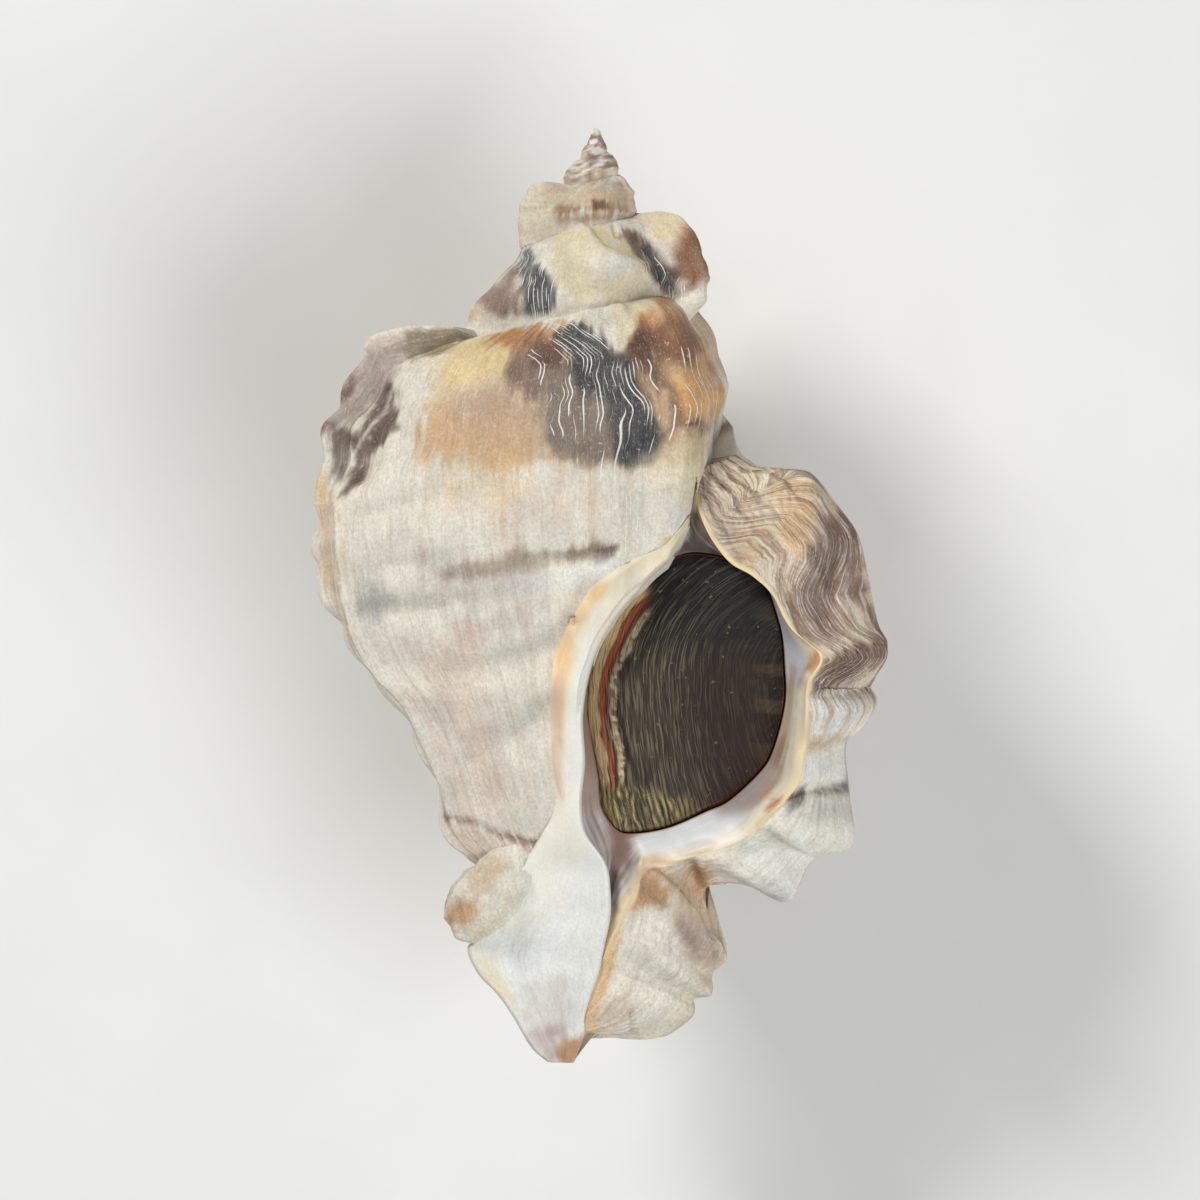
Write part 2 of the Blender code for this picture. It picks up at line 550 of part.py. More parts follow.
def stub_rows(along=24, around=24):
    """The earlier canal's end, a flattened stub that widens to its mouth."""
    line = curve_through(STUB_LINE, np.linspace(0.0, 1.0, along))
    phase = np.linspace(0.0, 2 * np.pi, around, endpoint=False)[:, None]
    rows = []
    for q, centre in zip(np.linspace(0.0, 1.0, along), line):
        close = np.sqrt(1.0 - 0.9 * max(0.0, (q - STUB_CLOSES) / (1.0 - STUB_CLOSES)) ** 2)
        wide = close * np.interp(q, (0, 1), STUB_WIDTHS)
        deep = close * np.interp(q, (0, 1), STUB_DEPTHS)
        rows.append(centre + wide * np.cos(phase) * np.array(STUB_ACROSS)
                    + deep * np.sin(phase) * np.array([0.0, 0.0, 1.0]))
    return np.array(rows)


def add_loft(mesh, rows, lift=0.0):
    """Close a grid of looped rows with a fan at either end and add it to a bmesh, in metres."""
    count, around = rows.shape[:2]
    points = (rows + np.array([0.0, 0.0, lift])) * MM
    grid = [[mesh.verts.new(p) for p in row] for row in points]
    for row, following in zip(grid[:-1], grid[1:]):
        for j in range(around):
            k = (j + 1) % around
            mesh.faces.new((row[j], following[j], following[k], row[k]))
    for row, points_of_row, turned in ((grid[0], points[0], False), (grid[-1], points[-1], True)):
        middle = mesh.verts.new(points_of_row.mean(axis=0))
        for j in range(around):
            corner = (row[j], row[(j + 1) % around])
            mesh.faces.new((middle, *(corner[::-1] if turned else corner)))


def outward(mesh):
    """Turn a closed bmesh so that its faces point out."""
    if mesh.calc_volume(signed=True) < 0:
        bmesh.ops.reverse_faces(mesh, faces=mesh.faces[:])


def new_object(name, meshes, collection):
    """One object from one or more closed bmeshes."""
    data = bpy.data.meshes.new(name)
    whole = bmesh.new()
    for mesh in meshes:
        outward(mesh)
        mesh.to_mesh(data)
        whole.from_mesh(data)
        mesh.free()
    whole.to_mesh(data)
    whole.free()
    made = bpy.data.objects.new(name, data)
    collection.objects.link(made)
    return made


def loft(rows):
    mesh = bmesh.new()
    add_loft(mesh, rows, AXIS_Z)
    return mesh


def operculum_solid(grow=0.0, under=0.0, over=-CLEARANCE):
    """Crowned plate of the operculum; grow, under and over widen it into its own clearance."""
    around, rings = 56, 5
    index = np.linspace(0.0, len(OPERCULUM_OUTLINE), around, endpoint=False)
    outline = grown(closed_curve(OPERCULUM_OUTLINE, index), grow)
    middle = outline.mean(axis=0)
    rows = []
    for q in np.linspace(0.15, 1.0, rings):
        ring = middle + q * (outline - middle)
        crown = OPERCULUM_CROWN * (1.0 - q * q) + over
        rows.append(np.column_stack([ring, operculum_face(ring[:, 1]) + crown]))
    for q in np.linspace(1.0, 0.15, rings):
        ring = middle + q * (outline - middle)
        thick = OPERCULUM_THICKNESS + under
        rows.append(np.column_stack([ring, operculum_face(ring[:, 1]) - thick]))
    return loft(np.array(rows))


def tip_solid():
    mesh = bmesh.new()
    bmesh.ops.create_uvsphere(mesh, u_segments=16, v_segments=10, radius=MM)
    bmesh.ops.scale(mesh, vec=TIP_SIZE, verts=mesh.verts)
    x, y, z = TIP_CENTRE
    bmesh.ops.translate(mesh, vec=(x * MM, y * MM, (z + AXIS_Z) * MM), verts=mesh.verts)
    return mesh


def floor_block():
    """Block below the floor, which trims the back wing to flat spots."""
    mesh = bmesh.new()
    bmesh.ops.create_cube(mesh, size=1.0)
    bmesh.ops.scale(mesh, vec=(0.2, 0.2, 0.02), verts=mesh.verts)
    bmesh.ops.translate(mesh, vec=(0.0, 0.0, -0.01), verts=mesh.verts)
    return mesh


def make_cutter(name, mesh, collection):
    cutter = new_object(name, [mesh], collection)
    cutter.hide_render = True
    cutter.display_type = "WIRE"
    return cutter


def cut(target, cutter):
    step = target.modifiers.new(cutter.name, "BOOLEAN")
    step.operation = "DIFFERENCE"
    step.solver = "EXACT"
    step.object = cutter


def fuse(target):
    """Join the overlapping whorls, callus and stub into one skin and thin its faces."""
    skin = target.modifiers.new("one_skin", "REMESH")
    skin.mode = "VOXEL"
    skin.voxel_size = VOXEL * MM
    thin = target.modifiers.new("fewer_faces", "DECIMATE")
    thin.ratio = KEEP_SHARE


def give_material(target, name, colour, roughness):
    material = bpy.data.materials.new(name)
    material.use_nodes = True
    shader = material.node_tree.nodes["Principled BSDF"]
    shader.inputs["Base Color"].default_value = (*colour, 1.0)
    shader.inputs["Roughness"].default_value = roughness
    shader.inputs["Metallic"].default_value = 0.0
    target.data.materials.append(material)


def make_shell(collection, cutters):
    solids = [loft(whorl_rows()), loft(callus_rows()), loft(stub_rows()), tip_solid()]
    shell = new_object("shell", solids, collection)
    fuse(shell)
    cut(shell, make_cutter("floor_trim", floor_block(), cutters))
    pocket = operculum_solid(grow=CLEARANCE, under=CLEARANCE, over=8.0)
    cut(shell, make_cutter("operculum_clearance", pocket, cutters))
    give_material(shell, "shell", (0.72, 0.62, 0.50), 0.55)


def make_operculum(collection):
    operculum = new_object("operculum", [operculum_solid()], collection)
    give_material(operculum, "horn", (0.06, 0.03, 0.02), 0.45)


def new_collection(name):
    collection = bpy.data.collections.new(name)
    bpy.context.scene.collection.children.link(collection)
    return collection


def main():
    for old in list(bpy.data.objects):
        bpy.data.objects.remove(old)
    parts = new_collection("murex_shell")
    cutters = new_collection("cutters")
    make_shell(parts, cutters)
    make_operculum(parts)


main()
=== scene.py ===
# Looks of the three-winged murex shell: its fine surface and colours, floor, light and camera.
# X points right in the view of the aperture, Y to the apex and Z up.
# Shapes are in millimetres, with z counted from the coiling axis, until the meshes are made.

import bpy
import numpy as np
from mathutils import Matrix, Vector
from mathutils.bvhtree import BVHTree


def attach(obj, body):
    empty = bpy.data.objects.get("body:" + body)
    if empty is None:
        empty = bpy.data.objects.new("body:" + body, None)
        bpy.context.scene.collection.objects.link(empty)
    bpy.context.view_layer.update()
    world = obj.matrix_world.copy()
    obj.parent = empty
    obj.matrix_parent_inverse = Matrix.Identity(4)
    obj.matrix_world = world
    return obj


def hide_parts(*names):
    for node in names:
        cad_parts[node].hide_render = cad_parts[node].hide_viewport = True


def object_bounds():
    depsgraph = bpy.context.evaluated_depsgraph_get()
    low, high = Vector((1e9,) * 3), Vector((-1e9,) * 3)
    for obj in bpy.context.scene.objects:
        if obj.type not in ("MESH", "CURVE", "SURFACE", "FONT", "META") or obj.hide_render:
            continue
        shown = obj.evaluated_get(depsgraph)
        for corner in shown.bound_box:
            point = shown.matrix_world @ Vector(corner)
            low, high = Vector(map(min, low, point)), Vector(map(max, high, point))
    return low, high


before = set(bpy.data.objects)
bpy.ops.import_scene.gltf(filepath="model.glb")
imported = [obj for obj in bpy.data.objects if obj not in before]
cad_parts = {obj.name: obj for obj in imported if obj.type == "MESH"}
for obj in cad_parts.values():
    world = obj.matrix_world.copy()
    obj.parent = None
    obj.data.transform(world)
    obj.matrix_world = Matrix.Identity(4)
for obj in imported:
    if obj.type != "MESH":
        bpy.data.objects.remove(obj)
cad_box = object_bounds()

# Driving dimensions, the same as those of the solids
MM = 0.001
APEX_Y = 52.5
AXIS_X = -0.4
AXIS_Z = 29.0
EXPANSION = 1.84
LIP_ANGLE = 330.0
FIRST_TURN = -7.0
EDGE_THICKNESS = 1.1
OPERCULUM_HEIGHT = 10.2
OPERCULUM_SLOPE = 0.13
OPERCULUM_THICKNESS = 1.5
OPERCULUM_CROWN = 0.7
CLEARANCE = 0.3
APERTURE_CENTRE = np.array([9.5, -11.0])
INNER_POINTS = 18

# Where one piece of the whorls ends and the next begins, in turns, and how they overlap
SPIRE_END = -1.60
OVERLAP = 0.012
INSET = 0.35

# Palette of the shell and then of the horn, as the colours look in plain light; shadow, pocket and gap are
# painted shade
PALETTE = {
    "cream": (0.885, 0.865, 0.805), "white": (0.905, 0.91, 0.89), "cream_yellow": (0.875, 0.825, 0.69),
    "yellow": (0.885, 0.79, 0.58), "orange": (0.89, 0.67, 0.40), "orange_brown": (0.68, 0.46, 0.28),
    "brown": (0.47, 0.30, 0.19), "maroon": (0.33, 0.205, 0.155), "mauve_brown": (0.46, 0.36, 0.315),
    "tan": (0.76, 0.64, 0.50), "mauve": (0.66, 0.58, 0.55), "pink": (0.83, 0.72, 0.65),
    "olive_grey": (0.48, 0.435, 0.385), "olive": (0.54, 0.475, 0.385), "ochre": (0.80, 0.68, 0.46),
    "blue_black": (0.20, 0.21, 0.225), "charcoal": (0.27, 0.235, 0.23), "grey": (0.66, 0.65, 0.64),
    "pocket_shadow": (0.40, 0.335, 0.29), "rim": (0.90, 0.82, 0.67), "pearl": (0.73, 0.735, 0.745),
    "ivory": (0.93, 0.895, 0.815), "shadow": (0.22, 0.16, 0.14), "gap": (0.50, 0.37, 0.28),
    "horn": (0.17, 0.125, 0.105), "horn_olive": (0.27, 0.24, 0.20), "horn_black": (0.06, 0.04, 0.035),
    "horn_purple": (0.19, 0.12, 0.11), "horn_right": (0.36, 0.32, 0.24), "horn_worn": (0.27, 0.23, 0.16),
    "horn_ridge": (0.72, 0.65, 0.46), "horn_sand": (0.55, 0.48, 0.32), "horn_red": (0.44, 0.20, 0.13),
    "horn_rim": (0.45, 0.34, 0.25), "grit": (0.82, 0.77, 0.66), "pit": (0.30, 0.20, 0.17),
    "margin_sand": (0.84, 0.73, 0.55), "margin_rust": (0.60, 0.28, 0.15), "margin_dark": (0.38, 0.15, 0.11),
    "margin_grey": (0.66, 0.59, 0.46), "margin_inner": (0.20, 0.13, 0.12),
}

# Colours of the finest lines and spots, as linear light
INKS = {
    "dark_line": (0.25, 0.165, 0.13, 1.0), "broad_line": (0.62, 0.54, 0.50, 1.0),
    "plate": (0.22, 0.14, 0.11, 1.0), "plate_edge": (0.80, 0.76, 0.68, 1.0),
    "pale_line": (0.86, 0.82, 0.75, 1.0), "hair": (0.82, 0.80, 0.74, 1.0), "speck": (0.85, 0.83, 0.78, 1.0),
    "felt_dark": (0.40, 0.32, 0.27, 1.0), "felt_pale": (0.86, 0.84, 0.80, 1.0),
    "horn_line": (0.26, 0.23, 0.15, 1.0), "horn_gap": (0.012, 0.009, 0.008, 1.0),
    "horn_fleck": (0.25, 0.22, 0.13, 1.0),
}

# Levels of the generating curve, 0 at the suture and 1 at the canal's end
CURVE_LEVELS = (0, .08, .18, .26, .34, .42, .50, .58, .66, .75, .83, .91, 1)
# The generating curve at the lip: distance from the axis and depth below the apex
CURVE_AT_LIP = (
    (15.4, 34.3), (17.2, 37.6), (21.4, 41.5), (25.6, 47.5), (28.0, 55.5), (27.6, 63.3),
    (25.3, 71.1), (21.1, 78.3), (16.4, 84.4), (12.0, 90.6), (8.0, 96.0), (5.4, 101.0), (2.6, 104.4),
)

# The generating curve one full turn before the lip
CURVE_ONE_TURN_BACK = (
    (8.4, 18.7), (10.4, 19.9), (12.8, 22.8), (14.4, 26.6), (15.2, 30.4), (15.0, 36.7),
    (14.2, 43.3), (12.9, 50.0), (11.3, 57.8), (9.6, 65.6), (7.8, 72.2), (5.8, 77.8), (2.8, 83.1),
)
CURVE_LENGTH = 82.0         # length of the curve near the lip, from suture to canal

# Earlier wings left standing on the spire: turn, then outward height at SPIRE_WING_LEVELS
SPIRE_WING_LEVELS = (0, .04, .10, .18, .26, .34, .42, .54, 1)
SPIRE_WINGS = {
    -0.925: (0, 2, 4.5, 6, 6, 6, 5, 2, 0),
    -1.02: (0, 0, -2, -3, -2, 0, -2, -3, 0),
    -1.33: (0, 4, 8, 11, 13, 13, 12, 0, 0),
    -1.64: (0, 2, 3, 3, 7, 12, 16, 6, 0),
    -2.02: (2, 9, 14, 17, 17, 18, 18, 2, 0),
    -2.33: (0, 6, 10, 13, 14, 14, 12, 0, 0),
    -2.64: (4, 14, 19, 20, 19, 18, 18, 4, 0),
    -3.00: (0, 0, 1, 2, 2, 2, 2, 0, 0),
    -3.33: (0, 3, 6, 8, 9, 9, 8, 0, 0),
    -3.64: (0, 2, 6, 9, 13, 14, 12, 0, 0),
    -4.00: (0, 1, 3, 4, 5, 5, 3, 0, 0),
    -4.33: (0, 1, 3, 4, 5, 5, 3, 0, 0),
    -4.64: (0, 1, 3, 4, 5, 5, 3, 0, 0),
}

# Rounded knobs on the shoulder between two wings: turn, height, half width in turns
SHOULDER_KNOBS = (
    (-2.83, 5.0, 0.055), (-2.50, 4.0, 0.050), (-2.17, 4.0, 0.050), (-1.83, 6.5, 0.060),
    (-1.50, 4.0, 0.050), (-1.17, 4.0, 0.050), (-0.50, 2.6, 0.045), (-0.17, 2.4, 0.045),
)
KNOB_LEVEL = 0.24
KNOB_SPREAD = 0.10
SPIRE_WING_REACH = (0.045, 0.018)   # how far those wings rise behind and fall ahead, in turns

# Lip wing from suture to canal: free edge (x, y, z), rim (x, y, z), fold (1 a crest, -1 a furrow)
LIP_WING = (
    (15.1, 15.6, 10.0, 10.8, 13.9, 12.0, 0.0),
    (17.8, 14.1, 10.5, 10.8, 11.1, 12.6, 0.2),
    (21.1, 14.0, 10.5, 11.1, 8.9, 13.0, 0.5),
    (23.6, 13.4, 10.0, 12.4, 6.1, 13.4, 1.0),
    (26.4, 10.0, 9.5, 14.4, 3.6, 13.8, 0.2),
    (28.7, 6.7, 9.0, 16.9, 2.1, 14.0, -0.5),
    (29.8, 2.2, 8.5, 19.1, -0.1, 14.2, 0.3),
    (30.9, -3.0, 8.0, 21.1, -3.7, 14.2, 0.0),
    (32.0, -5.9, 8.5, 24.3, -6.7, 13.8, 1.0),
    (30.0, -9.5, 7.6, 22.9, -9.7, 13.4, -0.8),
    (30.6, -12.2, 8.0, 22.7, -13.3, 13.0, 0.7),
    (27.3, -16.3, 7.0, 22.6, -17.2, 12.4, -0.9),
    (27.7, -22.2, 6.5, 21.8, -21.1, 11.8, 0.2),
    (28.0, -27.4, 6.2, 18.7, -24.1, 11.0, 1.0),
    (23.6, -29.6, 5.2, 15.8, -27.0, 10.2, -0.8),
    (20.9, -34.1, 5.2, 12.4, -28.3, 9.6, 1.0),
    (16.1, -32.1, 4.8, 10.0, -29.0, 9.2, -0.3),
    (12.0, -32.4, 4.4, 7.6, -29.7, 8.8, -1.0),
    (12.4, -36.7, 4.0, 5.3, -30.3, 8.5, 0.2),
    (14.2, -40.2, 3.6, 4.4, -31.7, 8.0, 0.9),
    (12.6, -42.2, 3.1, 3.6, -33.9, 7.4, -0.4),
    (12.4, -44.4, 3.0, 2.4, -36.7, 6.6, 0.7),
    (10.4, -45.0, 2.5, 1.2, -40.0, 5.6, -0.5),
    (10.2, -47.0, 2.3, 0.4, -43.3, 4.6, 0.6),
    (6.7, -49.4, 1.8, -0.7, -46.1, 3.6, -0.2),
    (2.2, -49.5, 1.5, -1.5, -47.9, 2.8, 0.4),
    (-1.4, -48.8, 1.2, -2.3, -48.9, 2.2, 0.0),
    (-3.1, -52.4, 0.8, -3.4, -50.6, 1.4, 0.0),
)
LIP_CANAL_STATION = 17
LIP_CANAL_LEVEL = 0.66
LIP_RAMP_START = -0.13
LIP_RAMP_END = -0.02

# Stations at which one lobe of the lip wing overlaps the next, and the height of that step
LIP_STEPS = ((9.0, 0.8), (11.0, 0.8), (13.8, 1.1), (17.0, 0.8), (20.2, 0.6), (22.2, 0.5))

# Crests and furrows on the faces that look up: from (x, y) to (x, y), half width, height
LIP_CREASES = (
    (22.8, 13.0, 23.6, 7.0, 2.2, 0.8), (23.6, 7.0, 20.6, 1.0, 2.0, 0.9),
    (15.0, 12.0, 16.6, 5.0, 2.2, -1.2), (27.0, 5.0, 28.2, -3.0, 1.3, 0.6),
    (25.2, 3.5, 24.6, -2.0, 1.4, -1.1), (5.1, -30.3, 12.4, -37.8, 1.1, 1.1),
    (3.2, -34.5, 9.5, -43.5, 1.5, 0.5), (9.0, -34.0, 9.5, -30.8, 1.6, -0.7),
)
BODY_CREASES_FROM = -1.0    # they lie on the last whorl only, from this turn on
BODY_CREASES = (
    (-2.0, -1.5, -21.0, -6.0, 1.8, 0.45), (-2.5, 3.0, -12.0, 1.5, 1.0, -0.35),
    (-4.5, -6.5, -19.0, -11.5, 1.8, -0.35), (-5.0, -10.5, -17.0, -17.0, 2.0, 0.35),
    (-5.2, -16.0, -15.5, -22.5, 1.8, -0.3), (-24.0, 23.0, -20.5, 17.5, 2.2, -0.9),
    (-25.5, 17.0, -24.5, 12.0, 2.0, -0.7),
)

# Left wing: edge of its front lamella and of the outer lamella behind it, suture to canal
LEFT_WING = (
    (-15.8, 28.0, 9.6, -16.0, 29.8, 9.6),
    (-18.0, 26.6, 9.0, -19.4, 29.8, 9.8),
    (-20.9, 25.6, 9.0, -21.6, 29.7, 9.6),
    (-23.2, 24.0, 9.2, -25.3, 28.3, 9.6),
    (-24.7, 20.6, 9.0, -27.2, 24.4, 9.8),
    (-27.2, 18.2, 8.8, -29.2, 20.6, 10.0),
    (-27.2, 14.4, 9.0, -30.8, 17.4, 10.0),
    (-29.0, 10.9, 10.4, -31.2, 11.7, 9.6),
    (-28.9, 7.2, 11.5, -31.2, 7.2, 9.0),
    (-28.8, 3.3, 11.2, -31.6, 4.2, 8.8),
    (-28.4, -0.2, 10.8, -30.3, -0.6, 8.6),
    (-27.6, -4.4, 10.2, -28.1, -4.4, 8.4),
    (-25.3, -8.6, 9.4, -26.0, -8.3, 8.0),
    (-22.0, -12.2, 8.4, -22.7, -12.2, 7.2),
    (-19.6, -17.0, 7.2, -20.2, -16.7, 6.2),
    (-17.7, -21.7, 6.0, -18.1, -21.7, 5.0),
    (-16.0, -26.7, 4.6, -16.7, -27.8, 3.6),
    (-12.5, -30.0, 3.5, -13.0, -30.3, 2.6),
)
LEFT_TURN = -0.64
LEFT_RAMP_START = -0.84
LEFT_WING_END = 0.88        # level at which the wing runs out into its old canal
OLD_CANAL = (-8.0, -34.0, 3.0)
LEFT_LOBES = 12
LEFT_LOBE_HEIGHT = 0.45

# Step behind the front lamella: share of the way to the outer lamella, depth below it
LEFT_STEP = ((0, 0), (.05, .4), (.12, .9), (.3, .7), (.6, .2), (.85, 0), (1, 0))
LEFT_BELLY = 2.2            # height of the belly in the lamella before it dips to its edge
LEFT_FALL_END = -0.60

# Back wing, on which the shell rests: a crest of two lamellae with a band between them
BACK_TURNS = (-0.353, -0.303)
BACK_RAMP_START = -0.47
BACK_FALL_END = -0.285
BACK_HEIGHT = 7.6
BACK_LOBES = 9
BACK_LOBE_HEIGHT = 1.0
BACK_GROOVE = 0.8
BACK_WAVE = 0.006           # how far the lobes swing to either side, in turns

# Plain whorl up to each wing: columns, first turn, and the next turns with the rows up to each
STRETCHES = {
    "spire": (120, FIRST_TURN, ((-3.1, 90), (SPIRE_END, 300))),
    "front": (198, SPIRE_END, ((-1.15, 105), (LEFT_RAMP_START, 110))),
    "back_left": (198, LEFT_FALL_END, ((BACK_RAMP_START, 50),)),
    "lip": (206, BACK_FALL_END, ((LIP_RAMP_START, 60),)),
}

# Low spiral cords that end in the lobes of the wings
CORDS = 9
CORD_HEIGHT = 0.30

# Rounded first whorl at the very tip: middle in x and z, top, length and radius
TIP_CENTRE = (-0.4, 0.0)
TIP_TOP = 52.35
TIP_LENGTH = 2.6
TIP_RADIUS = 1.15

# Edge of the columella along the aperture, from the canal's tip up to the suture
COLUMELLA_EDGE = (
    (-2.4, -46.5, 2.4), (-0.6, -41.0, 4.2), (0.3, -34.0, 6.0), (0.0, -30.0, 7.0),
    (-1.9, -26.1, 7.6), (-2.4, -22.8, 8.2), (-2.2, -18.3, 9.3), (-2.3, -12.8, 10.6),
    (-1.2, -7.2, 11.8), (1.1, -2.8, 12.2), (4.8, 1.4, 12.2), (7.6, 3.9, 12.0), (9.9, 8.0, 11.8),
    (10.7, 11.5, 11.9),
)
COLUMELLA_ABOVE_CANAL = 4

# Where older whorls stay below the aperture: share of the way to the rim, height from the operculum
APERTURE_CLEAR = ((0.0, -3.0), (0.80, -2.5), (0.92, -1.5), (1.0, 2.0), (1.1, 12.0))

# Where the growth lines of the operculum start, and how far they reach left, up and down
OPERCULUM_NUCLEUS = (19.2, -11.6)
GROWTH_CENTRE = (26.5, -8.2)
GROWTH_REACH = (27.6, 19.5, 48.0)

# Bands of the operculum's left margin, from the edge inwards: from, to, colour
MARGIN_BANDS = (
    (-1.0, 1.25, "margin_sand"), (1.25, 1.95, "margin_rust"), (1.95, 2.4, "margin_dark"),
    (2.4, 3.15, "margin_grey"), (3.15, 3.9, "margin_inner"),
)
BAND_EDGE = 0.12            # softness of the edges of those bands

# Outline of the operculum, clockwise from its upper end
OPERCULUM_OUTLINE = (
    (11.3, 4.6), (17.2, 2.6), (19.8, -3.1), (20.4, -8.2), (20.4, -12.1), (19.2, -16.9),
    (17.8, -19.4), (14.4, -22.6), (11.9, -23.8), (7.8, -25.6), (4.0, -26.3), (1.9, -25.9),
    (0.2, -23.3), (-0.1, -19.8), (-1.1, -14.7), (-1.3, -11.6), (-0.7, -7.8), (1.7, -2.3),
    (5.0, 1.4), (7.6, 3.8),
)

# Which point of that outline faces which station of the rim and of the columella edge
RIM_FACES = (
    (0, -0.5), (2, -0.2), (3.5, 0.4), (5, 1.0), (6.5, 1.7), (8, 2.9), (10, 4.3), (12, 6.0),
    (13, 7.0), (15, 8.5), (17, 9.7), (20, 10.3), (27, 10.8),
)
COLUMELLA_FACES = (
    (0, 10.9), (2, 11.2), (4, 12.0), (6, 13.2), (7, 14.7), (8, 16.0), (9, 17.0), (10, 18.0),
    (11, 19.0), (12, 19.3), (13, 19.5),
)

# Cavity below the operculum: share of its outline, depth below its upper face
CAVITY = ((1.0, 1.9), (0.93, 2.2), (0.9, 3.8), (0.8, 6.5), (0.6, 9.0), (0.3, 10.5), (0.05, 11.0))
CAVITY_LEAN = 0.12

# Callus on the columella, running on into the left flap of the canal: left and right borders
CALLUS_LEFT = (
    (11.1, 10.6, 12.0), (7.2, 5.6, 13.0), (3.3, 3.9, 13.6), (-0.6, 1.3, 13.6), (-2.9, -1.9, 13.0),
    (-4.9, -6.1, 11.8), (-5.7, -11.7, 10.4), (-5.7, -17.2, 9.2), (-4.9, -22.8, 8.0),
    (-6.1, -26.3, 7.2), (-8.0, -29.7, 6.4), (-9.9, -32.2, 5.8), (-11.1, -35.2, 5.2),
    (-12.8, -37.8, 4.4), (-14.4, -39.4, 3.6), (-13.3, -42.2, 2.8), (-11.1, -44.6, 2.2),
    (-9.3, -47.2, 1.6), (-7.4, -50.4, 1.0), (-5.5, -52.2, 0.6),
)
CALLUS_RIGHT = (
    (11.4, 11.4, 12.2), (10.0, 7.8, 12.6), (7.6, 4.1, 12.9), (4.8, 1.4, 13.2), (1.2, -2.8, 13.2),
    (-1.0, -7.2, 12.6), (-2.1, -12.8, 11.5), (-1.9, -18.3, 10.3), (-2.3, -22.8, 9.2),
    (-1.8, -26.3, 8.8), (0.4, -29.7, 8.6), (0.9, -32.8, 8.2), (0.9, -35.6, 7.6), (0.4, -38.3, 6.8),
    (0.0, -40.8, 6.0), (-0.7, -43.0, 5.2), (-1.3, -45.0, 4.4), (-1.8, -47.0, 3.6),
    (-2.0, -49.2, 2.6), (-3.2, -52.3, 1.2),
)
CALLUS_THICKNESS = 1.6
CALLUS_GLAZE = 0.35         # its thickness where it lies on the whorl
CALLUS_CROWN = 0.12         # height of its arch as a share of its width
FLAP_HOLLOW = 0.15          # depth of the canal flap as a share of its width

# End of an earlier canal, a flared stub beside the present one, as far as it shows
STUB_LINE = ((-6.8, -28.6, 2.8), (-9.9, -31.2, 4.1), (-13.2, -34.2, 4.6), (-16.7, -36.9, 3.6))
STUB_ACROSS = (-0.48, 0.88, 0.0)
STUB_WIDTHS = ((0, 3.2), (1, 4.1))
STUB_DEPTHS = ((0, 3.2), (1, 1.5))
STUB_CLOSES = 0.6           # share of its length after which it rounds off

